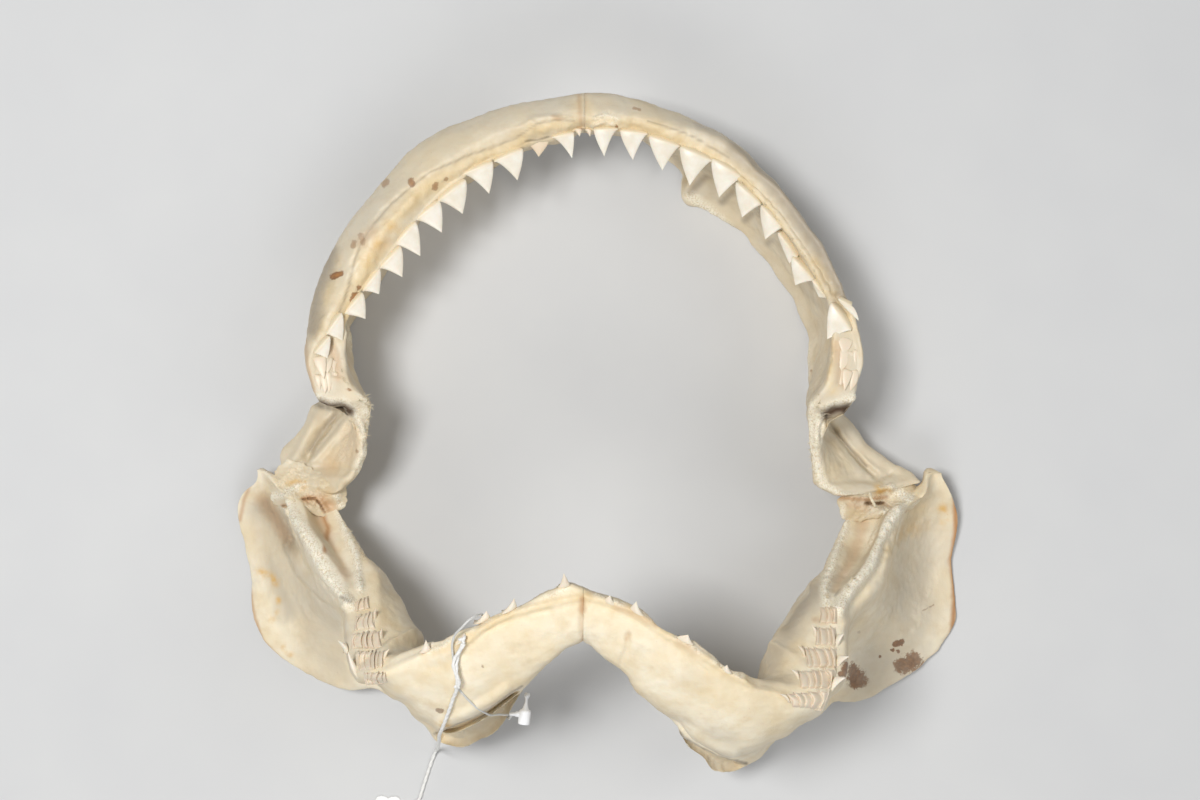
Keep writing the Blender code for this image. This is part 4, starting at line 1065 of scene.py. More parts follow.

# The marks of each half: layer, line or spot (pixels), half width (pixels), strength. The shade layer is
# painted shade and shadow.
PAINTED = {
    "upper_jaw_left": (
        ("gum", GUM_LEFT, 15.0, 1.0),
        ("gum", ((385, 232), (372, 248), (362, 262)), 14.0, 0.9),
        ("gum", ((332, 330), (350, 345), (356, 372), (350, 392)), 12.0, 0.55),
        ("rust", ((579, 94), (580, 112), (582, 130)), 3.6, 0.34),
        ("gum", ((581, 95), (572, 130)), 10.0, 0.55),
        ("shade", ((526, 141), (538, 140), (549, 137)), 1.6, 0.50),
        ("rust", ((560, 119), (554, 117)), 4.0, 0.35),
        ("shade", CREASE_LEFT, 1.5, 0.30),
        ("stain", ((332, 276), (336.6, 274.6), (341, 273.5)), 2.8, 1.0),
        ("stain", ((411, 181), (412, 184)), 3.4, 0.72),
        ("stain", ((435, 188), (436, 185)), 3.0, 0.62),
        ("stain", ((446, 179),), 2.6, 0.55),
        ("stain", ((387, 181), (384, 185)), 3.0, 0.45),
        ("stain", ((361, 235), (363, 243)), 3.2, 0.42),
        ("stain", ((354, 242), (353, 246)), 2.8, 0.42),
        ("stain", ((359, 288),), 2.6, 0.8),
        ("stain", ((355, 295), (353, 300)), 3.6, 0.9),
        ("stain", ((348.6, 390.5),), 2.6, 0.85),
        ("stain", ((357, 451),), 2.2, 0.5),
        ("grain", HOOK_LEFT, 8.0, 0.9),
        ("grain", ((350, 330), (358, 360), (366, 392), (368, 420), (366, 445), (360, 470)), 8.0, 0.9),
        ("grain", ((352, 424), (350, 440), (342, 456)), 12.0, 0.35),
        ("gum", ((356, 426), (350, 446), (334, 462)), 15.0, 1.0),
        # Tan over the yellow grains: their own darker tone, and painted shade on the steep face.
        ("tan", ((354, 430), (348, 450), (330, 466)), 14.0, 0.50),
        ("shade", ((320, 403), (329, 406), (341, 406), (350, 412)), 6.5, 1.0),
        ("shade", ((336, 414), (322, 431), (311, 450)), 4.5, 0.42),
        ("grey", ((344, 418), (326, 440), (314, 455)), 9.0, 0.9),
        ("amber", ((300, 478), (312, 484), (326, 492)), 9.0, 0.35),
        ("tan", ((330, 345), (336, 362), (338, 378)), 7.0, 0.7),
        ("rust", ((306, 340), (307, 362), (314, 392)), 3.0, 0.35),
        ("rust", ((310, 300), (322, 250), (345, 215), (380, 170)), 3.0, 0.25),
        # Grey, gum and shade along the outer left edge: its yellow-grey band, and painted shade on the
        # steep outer face.
        ("grey", ((312, 330), (318, 290), (332, 250)), 12.0, 1.0),
        ("gum", ((318, 330), (324, 296), (336, 262)), 12.0, 0.7),
        ("shade", ((311, 330), (317, 292), (330, 254)), 13.0, 0.34),
        ("rust", ((372, 232), (362, 242)), 9.0, 0.25),
        ("amber", ((392, 230), (380, 242), (368, 258)), 11.0, 0.40),
        ("tan", ((388, 240), (376, 250)), 8.0, 0.30),
    ),
    "upper_jaw_right": (
        ("gum", GUM_RIGHT, 14.0, 1.0),
        ("rust", ((585, 94), (584, 112), (583, 130)), 3.0, 0.22),
        ("gum", ((584, 95), (594, 130)), 10.0, 0.55),
        ("stain", ((616.5, 127),), 1.8, 0.9),
        ("grain", ((596, 118), (606, 114), (616, 119)), 5.0, 0.55),
        ("grain", ((592, 126), (604, 122), (612, 124)), 4.0, 0.45),
        ("shade", ((735, 150), (770, 176), (815, 240), (845, 300)), 15.0, 0.34),
        ("shade", CREASE_RIGHT[2:6], 1.3, 0.35),
        ("stain", ((634, 108), (640, 110)), 1.6, 0.45),
        ("grain", HOOK_RIGHT, 8.0, 0.9),
        ("grain", ((690, 196), (720, 220), (752, 256), (784, 300), (804, 345), (808, 400), (812, 450),
                   (822, 484)), 8.0, 0.9),
        ("grain", ((822, 484), (846, 497), (870, 499)), 6.0, 0.8),
        ("shade", ((848, 409), (836, 409), (827, 414)), 8.0, 1.0),
        ("shade", ((826, 418), (838, 434), (852, 451), (866, 466)), 2.4, 0.5),
        ("grey", ((848, 420), (862, 448), (884, 464)), 11.0, 0.6),
        ("gum", ((832, 446), (846, 466), (828, 470)), 14.0, 0.45),
        # Grey along the outer right edge: painted shade on the steep outer face.
        ("grey", ((700, 126), (745, 156), (790, 206), (826, 256), (850, 300)), 13.0, 1.0),
        ("gum", ((815, 262), (838, 300), (850, 322)), 12.0, 0.9),
        ("tan", HOLLOW_RIGHT, 8.0, 0.7),
        ("gum", ((828, 330), (832, 350), (828, 380), (834, 392)), 7.0, 0.9),
        ("rust", ((839, 497), (871, 500)), 3.0, 0.7),
        ("amber", ((879, 487), (889, 492)), 6.0, 0.7),
        ("shade", ((690, 192), (700, 182), (712, 170)), 6.0, 0.45),
        ("shade", ((722, 202), (734, 190), (742, 186)), 5.0, 0.40),
        ("shade", ((745, 220), (756, 210), (762, 214)), 5.0, 0.40),
        ("shade", ((768, 243), (776, 238), (784, 250)), 5.0, 0.35),
        ("shade", ((795, 270), (806, 292), (826, 310)), 4.5, 0.45),
        ("stain", ((812, 371), (812, 377)), 1.8, 0.6),
        ("stain", ((838, 384),), 1.8, 0.5),
    ),
    "lower_jaw_left": (
        # Grey over the wing: its greyer tone, and painted shade in its hollow.
        ("grey", ((270, 520), (290, 570), (318, 610), (335, 660)), 46.0, 0.80),
        ("gum", ((268, 498), (280, 520), (296, 548)), 16.0, 0.9),
        ("tan", ((262, 500), (276, 518), (286, 536)), 10.0, 0.7),
        ("shade", ((266, 504), (279, 520), (291, 545)), 13.0, 0.42),
        ("grey", ((256, 510), (268, 560), (290, 612)), 20.0, 0.9),
        ("grain", RIDGE_LEFT, 11.0, 1.0),
        ("grain", ((334, 497), (344, 528), (356, 556), (361, 590)), 6.5, 1.0),
        ("tan", ((314, 504), (324, 528), (334, 552), (346, 576)), 7.0, 0.6),
        ("rust", ((319, 506), (328, 528), (325, 550)), 3.0, 0.8),
        ("shade", ((341, 597), (350, 602)), 2.0, 0.6),
        ("gum", ((376, 640), (388, 600), (380, 570), (400, 640)), 18.0, 0.45),
        ("amber", ((262, 574), (270, 576), (276, 582)), 7.0, 0.85),
        ("amber", ((278, 600), (277, 612)), 4.0, 0.8),
        ("amber", ((272, 620),), 5.0, 0.8),
        ("amber", ((284, 648), (290, 654)), 4.0, 0.8),
        ("rust", ((250, 590), (254, 615), (262, 640), (275, 655), (292, 668)), 2.6, 0.55),
        ("rust", ((240, 520), (244, 500), (252, 480)), 3.0, 0.5),
        ("gum", ((583, 597), (560, 601), (540, 606), (515, 613), (497, 620), (479, 630), (466, 642),
                 (446, 650), (425, 654)), 8.0, 0.75),
        ("rust", ((584, 599), (583, 611)), 5.0, 0.55),
        ("grain", ((566, 588), (556, 594), (544, 597)), 4.0, 0.5),
        ("grain", ((518, 606), (508, 610), (496, 614)), 4.0, 0.6),
        ("grain", ((490, 619), (478, 624), (470, 629)), 4.0, 0.5),
        ("grain", ((450, 640), (438, 648), (426, 651)), 4.0, 0.6),
        ("tan", ((582, 600), (583, 641)), 5.0, 0.5),
        ("stain", ((438, 710), (441, 711)), 2.6, 0.7),
        ("stain", ((482.3, 666.4),), 1.6, 0.55),
        ("gum", CHIN_LEFT, 14.0, 0.4),
        ("amber", ((448, 726), (440, 722)), 5.0, 0.6),
        ("shade", FLANGE_LEFT, 1.6, 0.55),
        ("grey", ((446, 742), (470, 734), (496, 716), (514, 700)), 12.0, 0.8),
    ),
    "lower_jaw_right": (
        ("grey", ((930, 530), (918, 590), (898, 640), (872, 680)), 50.0, 0.80),
        ("gum", ((918, 508), (902, 528), (890, 548)), 16.0, 0.9),
        # Grey on the steep inner wall: painted shade.
        ("grey", ((832, 575), (805, 605), (780, 645), (765, 678)), 18.0, 1.0),
        ("grain", RIDGE_RIGHT, 12.0, 1.0),
        ("grain", INNER_RIDGE_RIGHT, 6.5, 1.0),
        ("tan", ((866, 508), (860, 538), (850, 564), (838, 588)), 8.0, 0.6),
        ("shade", ((835, 596), (840, 590)), 2.0, 0.4),
        ("shade", ((808, 586), (797, 604), (786, 626)), 13.0, 0.30),
        ("stain", ((849, 671), (858, 680)), 9.5, 0.94),
        ("stain", ((840, 674), (846, 674)), 3.0, 0.9),
        ("stain", ((903, 666), (910, 662), (914, 661)), 9.0, 0.88),
        ("stain", ((895, 644), (901, 642)), 3.6, 1.0),
        ("stain", ((892, 650),), 2.4, 0.95),
        ("stain", ((898, 651),), 2.2, 0.85),
        ("stain", ((880, 656.5),), 1.8, 0.95),
        ("rust", ((908, 682), (925, 670), (940, 654), (950, 642)), 6.0, 0.6),
        ("rust", ((955, 490), (956, 530), (952, 560), (955, 600), (952, 634), (938, 656)), 4.0, 0.9),
        ("amber", ((942, 508), (944, 520)), 6.0, 0.85),
        ("amber", ((900, 536), (920, 528)), 12.0, 0.30),
        ("stain", ((922, 611), (934, 605)), 0.8, 0.45),
        ("stain", ((859, 632),), 1.8, 0.3),
        ("gum", RIM_RIGHT, 9.0, 0.7),
        ("tan", ((616, 606), (640, 616), (656, 624)), 6.0, 0.5),
        ("tan", ((680, 642), (698, 652)), 6.0, 0.5),
        ("rust", ((583, 600), (584, 611)), 3.0, 0.45),
        ("grain", ((596, 594), (612, 600), (622, 604)), 4.5, 0.6),
        ("grain", ((634, 606), (646, 614), (654, 620)), 4.0, 0.6),
        ("grain", ((678, 636), (692, 644), (700, 652)), 4.5, 0.6),
        ("grain", ((714, 660), (728, 669), (742, 676)), 4.5, 0.6),
        ("tan", ((627, 639), (629, 634)), 3.5, 0.55),
        ("grey", ((690, 672), (700, 682)), 16.0, 0.25),
        ("grey", ((712, 732), (730, 742)), 14.0, 0.35),
        ("gum", ((800, 620), (790, 650), (775, 690)), 22.0, 0.45),
        ("rust", ((815, 620), (826, 622)), 4.0, 0.4),
        ("shade", FLANGE_RIGHT, 2.6, 0.80),
        ("grey", ((690, 750), (710, 764), (730, 770)), 13.0, 1.0),
        ("shade", ((692, 750), (712, 762), (728, 766)), 8.0, 0.16),
    ),
}

# Small shifts of a form in the picture: from, to and reach (pixels).
SHIFTED = {
    "upper_jaw_left": (
        ((380, 175), (383, 178), 45.0),
        ((545, 94), (545, 97.5), 34.0),
        ((582, 139), (582, 131), 12.0),
        ((368, 300), (358, 302), 12.0),
        ((360, 322), (350, 325), 12.0),
        ((354, 342), (351, 343), 13.0),
        ((316, 392), (312.5, 393.5), 12.0),
        ((364, 404), (370, 405), 16.0),
        ((370, 440), (366, 440), 14.0),
        ((363, 468), (360, 466), 12.0),
        ((290, 455), (284, 451), 14.0),
        ((316, 412), (312, 409), 9.0),
        ((330, 488), (332, 493), 12.0),
    ),
    "upper_jaw_right": (
        ((650, 96), (649, 101), 28.0),
        ((603, 140), (603, 134), 11.0),
        ((630, 141), (630, 135), 20.0),
        ((712, 134), (714, 131), 24.0),
        ((762, 166), (759, 169), 18.0),
        ((822, 248), (825, 246), 22.0),
        ((668, 103), (667, 105), 15.0),
        ((850, 300), (848, 301), 12.0),
        ((676, 168), (684, 170), 13.0),
        ((690, 196), (686, 202), 11.0),
        ((740, 241), (745, 235), 15.0),
        ((762, 266), (769, 260), 22.0),
        ((785, 300), (793, 296), 22.0),
        ((802, 335), (807, 334), 20.0),
        ((812, 400), (806, 400), 18.0),
        ((862, 385), (858, 385), 15.0),
        ((860, 417), (853, 419), 12.0),
        ((853, 409), (846, 414), 8.0),
        ((868, 440), (864, 443), 14.0),
        ((820, 482), (815, 485), 10.0),
        ((905, 478), (908, 474), 12.0),
    ),
    "lower_jaw_left": (
        ((566, 593), (567, 583), 15.0),
        ((545, 596), (545, 592), 13.0),
        ((476, 615), (478, 619), 10.0),
        ((440, 639), (441, 642), 13.0),
        ((396, 582), (391, 585), 15.0),
        ((412, 641), (424, 640), 17.0),
        ((348, 518), (344, 520), 16.0),
        ((342, 503), (338, 503), 10.0),
        ((570, 652), (568, 647), 18.0),
        ((478, 745), (475, 740), 15.0),
        ((376, 702), (378, 688), 20.0),
        ((398, 716), (403, 706), 16.0),
        ((420, 732), (425, 727), 14.0),
        ((243, 575), (251, 574), 28.0),
        ((240, 540), (243, 541), 14.0),
        ((250, 478), (256, 481), 13.0),
    ),
    "lower_jaw_right": (
        ((764, 677), (755, 681), 16.0),
        ((832, 560), (826, 558), 18.0),
        ((840, 530), (836, 529), 14.0),
        ((803, 588), (806, 590), 9.0),
        ((787, 625), (779, 622), 18.0),
        ((768, 662), (764, 660), 13.0),
        ((660, 624), (657, 628), 16.0),
        ((732, 662), (728, 669), 17.0),
        ((694, 646), (694, 643), 9.0),
        ((592, 647), (592, 643), 12.0),
        ((637, 690), (634, 692), 13.0),
        ((700, 763), (704, 759), 13.0),
        ((674, 728), (677, 725), 15.0),
        ((750, 770), (747, 766), 12.0),
        ((780, 751), (777, 745), 22.0),
        ((806, 734), (802.5, 728.5), 18.0),
        ((838, 706), (834, 701), 11.0),
        ((915, 681), (911, 674), 26.0),
        ((945, 650), (941, 648), 14.0),
        ((957, 560), (951, 560), 30.0),
        ((934, 476), (926, 469), 10.0),
        ((890, 696), (888, 691), 17.0),
        ((932, 661), (928.5, 658), 10.0),
        ((951, 618), (954, 617), 13.0),
        ((780, 618), (783, 620), 12.0),
    ),
}


def line_side(pixels, line):
    """Signed distance in pixels from a polyline, and the share along it of the nearest point."""
    line = np.array(line, float)
    best = np.full(len(pixels), FAR_AWAY)
    signed = np.zeros(len(pixels))
    along = np.zeros(len(pixels))
    for k, (a, b) in enumerate(zip(line[:-1], line[1:])):
        way = b - a
        share = ((pixels - a) @ way) / (way @ way)
        clipped = np.clip(share, 0.0, 1.0)
        gap = pixels - (a + clipped[:, None] * way)
        distance = np.linalg.norm(gap, axis=1)
        sign = np.sign(way[0] * gap[:, 1] - way[1] * gap[:, 0])
        near = distance < best
        best = np.where(near, distance, best)
        signed = np.where(near, distance * sign, signed)
        along = np.where(near, (k + clipped) / (len(line) - 1), along)
    return signed, along


# How fast a step and a flap set in from the two ends of their lines.
STEP_ENDS, FLAP_ENDS = 6, 15
# How far broad and small noise move the edge of a step and of a flap (pixels), and by what
# share they change the distance from a ridge's or a mark's line.
STEP_SMALL = 0.8
FLAP_BROAD, FLAP_SMALL = 3.6, 2.0
LINE_BROAD, LINE_SMALL = 0.25, 0.15
MARK_BROAD, MARK_SMALL = 0.20, 0.15
# How far a flap runs out (pixels).
FLAP_REACH = 60.0
# A ridge or groove narrower than this (pixels) is broken up: mean, share of noise and range.
NARROW = 4
BROKEN, BROKEN_NOISE, BROKEN_RANGE = 0.75, 0.8, (0.25, 1.3)
# A mark's reach, how far out a stain thins away and how far it may reach, and on the upper jaw
# the reach and the strength of the rust round it, all in shares of its width and strength.
MARK_REACH = 1.25
STAIN_EDGE, STAIN_REACH = 1.5, 2.0
RUST_REACH, RUST_STRENGTH = 1.2, 0.70
# Faces whose normals rise less than this are steep, and take this much of two layers, grey
# and gum: painted shade, with the steep walls' own yellower tone.
STEEP_RISE = 0.60
STEEP_GREY_SHADE, STEEP_GUM_SHADE = 0.60, 0.45
# Painted shade that greys the upper jaw, and how much of it the gum keeps off.
UPPER_GREY_SHADE, GUM_KEEPS_OFF = 0.62, 0.8
# Sizes of the broad and the small noise (mm), and their relief (mm).
BROAD_SIZE, SMALL_SIZE, OCTAVES = 9.0, 2.2, 3
BROAD_RELIEF, SMALL_RELIEF = 0.25, 0.09
# The gum's extra small relief, the size of its lumps (mm) and the level that they rise from.
GUM_ROUGH = 1.5
GUM_LUMP, GUM_LEVEL = 2.6, 0.3
# Size of the mineral grains (mm), their relief and that of the small noise among them (mm).
GRAIN_SIZE = 1.3
GRAIN_RELIEF, GRAIN_ROUGH = 0.14, 0.30
# What is added to a half's side to keep its small noise and its lumps unlike the rest.
SMALL_SEED, LUMP_SEED = 4, 2


def shift_forms(half, shifts):
    """Moves the points near each start towards its stop, as the camera sees them."""
    for start, stop, reach in shifts:
        away = np.linalg.norm(half.pixels - start, axis=1)
        share = np.exp(-((away / reach) ** 2))
        scale = FOCUS / (EYE[2] - half.points[:, 2])
        half.points[:, 0] += share * (stop[0] - start[0]) / scale
        half.points[:, 1] -= share * (stop[1] - start[1]) / scale
        half.reset()


def carve_step(half, line, sign, drop, reach, depth, small):
    """Lowers the surface on one side of a line."""
    signed, along = line_side(half.pixels, line)
    signed = signed * sign + STEP_SMALL * small
    ends = np.clip(np.minimum(along, 1 - along) * STEP_ENDS, 0, 1)
    amount = depth * np.clip(signed / drop, 0, 1) * fade(np.maximum(signed, 0), reach) * ends
    amount = amount * half.facing * half.seen
    half.points[:, 2] = np.maximum(half.points[:, 2] - amount, 0.0)


def flap_height(half, line, sign, rise, height, wobble, small):
    """Height of a sheet of gum with a torn edge along a line."""
    signed, along = line_side(half.pixels, line)
    signed = signed * sign + FLAP_BROAD * wobble + FLAP_SMALL * small
    ends = np.clip(np.minimum(along, 1 - along) * FLAP_ENDS, 0, 1)
    return height * np.clip(signed / rise, 0, 1) * fade(np.maximum(signed, 0), FLAP_REACH) * ends


def line_height(half, line, width, height, wobble, small):
    """Height of a ridge along a line, or of a groove where the height is negative."""
    away = line_distance(half.pixels, line) * (1 + LINE_BROAD * wobble + LINE_SMALL * small)
    amount = fade(away, width) * height
    if width < NARROW:
        amount = amount * np.clip(BROKEN + BROKEN_NOISE * wobble, *BROKEN_RANGE)
    return amount


def carve(half, forms, wobble, small):
    """Gives a half its ridges, grooves, steps and flaps."""
    for kind, *form in forms:
        if kind == "step":
            carve_step(half, *form, small)
            continue
        if kind == "flap":
            amount = flap_height(half, *form, wobble, small)
        elif kind == "ridge":
            amount = line_height(half, *form, wobble, small)
        else:
            line, width, depth = form
            amount = line_height(half, line, width, -depth, wobble, small)
        half.lift(amount * half.facing * half.seen)


def paint_marks(half, marks, wobble, small):
    """Paints lines and spots on the surface that the camera sees."""
    upright = np.clip((half.normals[:, 2] - PAINT_FROM) * PAINT_RATE, 0, 1) * half.seen
    for layer, line, width, strength in marks:
        away = line_distance(half.pixels, line) * (1 + MARK_BROAD * wobble + MARK_SMALL * small)
        if layer == "stain":
            if half.upper:
                rust = fade(away, width * RUST_REACH) * RUST_STRENGTH * strength * upright
                half.paint("rust", rust)
            half.paint("stain", np.clip(STAIN_EDGE - away / width, 0, 1) * upright)
            half.paint("depth", (away < width * STAIN_REACH) * strength * (upright > 0))
        else:
            half.paint(layer, fade(away, width * MARK_REACH) * strength * upright)


def paint_broad_shade(half):
    """Painted shade: greys the steep faces, with gum, and on the upper jaw all that isn't gum."""
    steep = np.clip(1 - half.normals[:, 2] / STEEP_RISE, 0, 1)
    half.paint("grey", STEEP_GREY_SHADE * steep)
    half.paint("gum", STEEP_GUM_SHADE * steep)
    if half.upper:
        half.paint("grey", UPPER_GREY_SHADE * (1 - GUM_KEEPS_OFF * half.layers["gum"]))


def roughen(half, wobble, small):
    """Gives the surface its relief, by what each place is made of."""
    grain, gum = half.layers["grain"], half.layers["gum"]
    seam = np.clip(np.abs(half.points[:, 0] - MIDLINE_X) / SEAM_SMOOTH, 0, 1)
    lump = grains(half.points, GUM_LUMP, seed=half.side + LUMP_SEED)
    mineral = grains(half.points, GRAIN_SIZE, seed=half.side)
    half.push(
        BROAD_RELIEF * wobble * seam
        + SMALL_RELIEF * small * (1 + GUM_ROUGH * gum)
        + gum * LUMPY_GUM * (lump - GUM_LEVEL) * seam
        + grain * (GRAIN_RELIEF * mineral + GRAIN_ROUGH * small)
    )


for name, half in halves.items():
    half.reset()
    jaw = name.rsplit("_", 1)[0]
    shift_forms(half, SHIFTED[f"{jaw}_left"] + SHIFTED[f"{jaw}_right"])
    wobble = rough(half.points, BROAD_SIZE, OCTAVES, seed=half.side)
    small = rough(half.points, SMALL_SIZE, OCTAVES, seed=half.side + SMALL_SEED)
    carve(half, CARVED[name], wobble, small)
    half.reset()
    paint_marks(half, PAINTED[name], wobble, small)
    paint_broad_shade(half)
    roughen(half, wobble, small)
    half.reset()

cartilage = {}
for name, half in halves.items():
    label = f"{name}_cartilage"
    cartilage[name] = new_object(label, half.points, half.faces(), CARTILAGE, half.layers)

# ---------------------------------------------------------------- lower teeth

# The height at which a ray that misses a half looks for its nearest point (mm).
MISSED = 60.0

trees = {}
for name, obj in cartilage.items():
    mesh = obj.data
    trees[name] = BVHTree.FromPolygons(
        [v.co / MM for v in mesh.vertices], [tuple(p.vertices) for p in mesh.polygons]
    )


def under(name, px, py):
    """The point of a half and its normal that the camera sees at a pixel."""
    aim = Vector(at_pixel(px, py, 0.0) - EYE).normalized()
    hit, normal, _, _ = trees[name].ray_cast(Vector(EYE), aim)
    if hit is None:
        hit, normal, _, _ = trees[name].find_nearest(Vector(at_pixel(px, py, MISSED)))
    if normal.z < 0:
        normal = -normal
    return np.array(hit), np.array(normal)


# Front teeth of the lower jaw, of which the gum shows little: two base corners and a tip
# (pixels), and how far the tip stands above its base (mm).
LOWER_FRONT = {
    "left": (
        ((558.0, 587), (570.0, 585), (564, 574.5), 3.0),
        ((501.0, 614), (517.0, 606), (514.6, 599), 2.0),
        ((473.0, 624), (491.0, 618), (486.5, 611.8), 2.0),
        ((455.0, 645), (468.0, 637), (464.5, 633.6), 1.5),
        ((419.0, 653), (431.0, 649), (426, 640.5), 2.0),
    ),
    "right": (
        ((616.0, 605), (604.0, 600), (610, 596.0), 1.5),
        ((644.0, 616), (630.0, 608), (636, 602.0), 2.0),
        ((694.0, 645), (677.0, 637), (688, 635.5), 1.5),
        ((732.0, 674), (722.0, 668), (727, 665.5), 1.5),
    ),
}

# Files of replacement teeth at the corner of the lower jaw: the labial end, upper and lower
# corner, the lingual end, upper and lower corner (pixels), the number of teeth, and the cusp
# of the last one, if it stands free.
FILES = {
    "left": (
        ((356, 601), (354, 613), (368, 597), (372, 609), 3, None),
        ((355, 617), (353, 632), (374, 611), (377, 630), 4, (376, 608)),
        ((350, 634), (350, 650), (380, 631), (384, 650), 5, (382, 628)),
        ((355, 653), (359, 672), (385, 651), (384, 671), 6, (389, 649)),
        ((362, 673), (366, 686), (386, 673), (389, 683), 5, None),
    ),
    "right": (
        ((838, 607), (838, 625), (820, 607), (818, 625), 3, None),
        ((837, 628), (838, 647), (816, 628), (814, 647), 4, (812, 625)),
        ((838, 649), (838, 669), (803, 648), (806, 669), 5, (798, 645)),
        ((836, 670), (833, 690), (797, 671), (800, 690), 5, (791, 669)),
        ((830, 691), (822, 711), (785, 694), (792, 708), 5, (779, 693.5)),
    ),
}

# Functional corner teeth over the wing: base corners and tip (pixels), rise of the tip (mm).
OUTER_TIPS = {
    "left": (
        ((347, 654), (345, 643), (338.5, 640), 2.5),
        ((359, 679), (350, 661), (347, 652), 2.5),
    ),
    "right": (
        ((837, 650), (838, 634), (843, 634), 2.0),
        ((838, 668), (839, 655), (848.5, 656.5), 2.5),
        ((832, 692), (836, 676), (845, 677.5), 2.5),
    ),
}

# Replacement teeth at the corner of the upper jaw: base corners and tip (pixels), rise (mm).
UPPER_CORNER = {
    "left": (
        ((313, 358), (326, 357), (323.5, 378), 1.8),
        ((323, 358), (333, 359), (327, 373), 2.0),
        ((328, 360), (337, 362), (335, 376), 1.7),
        ((314, 375), (323, 377), (320, 390), 0.7),
        ((319, 376), (328, 375), (324.5, 393), 1.1),
        ((324, 374), (331, 373), (328.5, 392.5), 0.8),
        ((328, 372), (334.5, 372), (332, 390), 1.1),
        ((331, 372), (338, 374), (335.5, 386), 0.7),
    ),
    "right": (
        ((838, 336), (853, 341), (843.5, 353), 1.4),
        ((840, 350), (851, 352), (840, 371), 1.5),
        ((846, 351), (855, 354), (851, 372), 0.8),
        ((838, 368), (847, 370), (840, 388), 1.0),
        ((843, 369), (853, 373), (845, 390), 1.3),
        ((850, 371), (858.5, 371), (850, 391), 0.9),
        ((853, 350), (859, 352), (857.5, 372), 1.0),
    ),
}

# Worn crumbs of teeth beside the symphysis of the upper jaw: base corners and tip (pixels),
# rise (mm).
CRUMBS = {
    "left": (((574, 130), (582, 130), (579.5, 136.5), 0.3),),
    "right": (((585, 130), (592, 130.5), (590, 137), 0.3),),
}

# A small tooth's grid; where it takes its height from, in shares of its length behind its base;
# the way its labial face looks; its thickness and root (mm), its shape, and how much fuller and
# thinner a replacement tooth is.
SMALL_GRID = {"rows": 16, "columns": 8}
SMALL_BEHIND = 0.35
SMALL_FACE = (0, -0.3, 1)
SMALL_THICK, SMALL_ROOT = 1.8, 1.6
SMALL_NOTCH, SMALL_BELLY = 0.72, 1.30
PETAL, SMALL_THIN = 2.2, 0.6
# A file's grid: points to each tooth along it, and points across it.
FILE_STEPS, FILE_WIDE = 14, 17
# How unlike its teeth are, how much the line between two of them bows (teeth), and how far its
# sway is shifted.
FILE_JITTER, FILE_BOW, FILE_PHASE = (0.45, 1.25), (0.22, 0.42), (0, 6)
# How the line between two teeth sways along the file (share of its length and rate), leans and
# ripples across it (teeth), with the ripple's rate and how its shift goes with the sway's.
SWAY, SWAY_RATE = 0.035, 9
LEAN = 0.30
RIPPLE, RIPPLE_RATE, RIPPLE_SHIFT = 0.05, 7, 5
# The share of a tooth's spacing over which it rises before it drops to the next one, the power
# of that rise, its height (mm), and that height's share at the lower and at the upper edge.
BLADE, BLADE_CURVE = 0.84, 0.8
FILE_RISE = 1.3
RISE_LOW, RISE_MORE = 0.75, 0.45
# How fast the file sets in from its ends, its lower edge and its upper edge.
ENDS_RATE, LOWER_RATE, UPPER_RATE = 2.2, 5, 12
# The cusps on the upper edge: height up and inwards (pixels), and the powers that shape them.
CUSP, CUSP_IN = 3.2, 1.6
CUSP_UP, CUSP_ALONG = 5, 1.6
# How far the ground under a file may differ from that in its middle, the file's height above
# it, the depth of its edges and of its underside (mm).
GROUND_BAND = 3.0
FILE_ABOVE, FILE_EDGE, FILE_UNDER = 0.30, 0.4, 1.6
# The painted shade in the gap between two teeth: its place and half width (shares of a tooth's
# spacing), its least and further strength, and how dark the painted shade along the file's lower
# edge is; and a file's root colour.
GAP_AT, GAP_HALF = 0.97, 0.05
GAP_LEAST, GAP_MORE = 0.35, 0.65
GAP_EDGE = 0.35
FILE_ROOT = 0.15
# The free cusp of a file's last tooth: how far down the file's end its base reaches, its height
# above the ground and its tip's above that (mm), its thickness, root and shape, and its age.
LAST_REACH = 0.35
LAST_ABOVE, LAST_RISE = 0.5, 0.9
LAST_THICK, LAST_ROOT = 1.3, 1.2
LAST_NOTCH, LAST_BELLY = 0.55, 1.2
LAST_OLD = 0.6


def slab_faces(long, wide):
    """Faces of a closed slab: an upper grid of points, a lower one and the rim between them."""
    size = long * wide
    faces = []
    for i in range(long - 1):
        for j in range(wide - 1):
            a = i * wide + j
            faces.append((a, a + wide, a + wide + 1, a + 1))
            faces.append((size + a, size + a + 1, size + a + wide + 1, size + a + wide))
    rim = [i * wide for i in range(long)]
    rim += [(long - 1) * wide + j for j in range(1, wide)]
    rim += [i * wide + wide - 1 for i in range(long - 2, -1, -1)]
    rim += [j for j in range(wide - 2, 0, -1)]
    for a, b in zip(rim, rim[1:] + rim[:1]):
        faces.append((a, b, b + size, a + size))
    return faces


def blade_rise(part):
    """Height of a tooth of a file at a share of its spacing: a slow rise and a short drop."""
    if part < BLADE:
        return math.sin(part / BLADE * math.pi / 2) ** BLADE_CURVE
    return 1 - (part - BLADE) / (1 - BLADE)


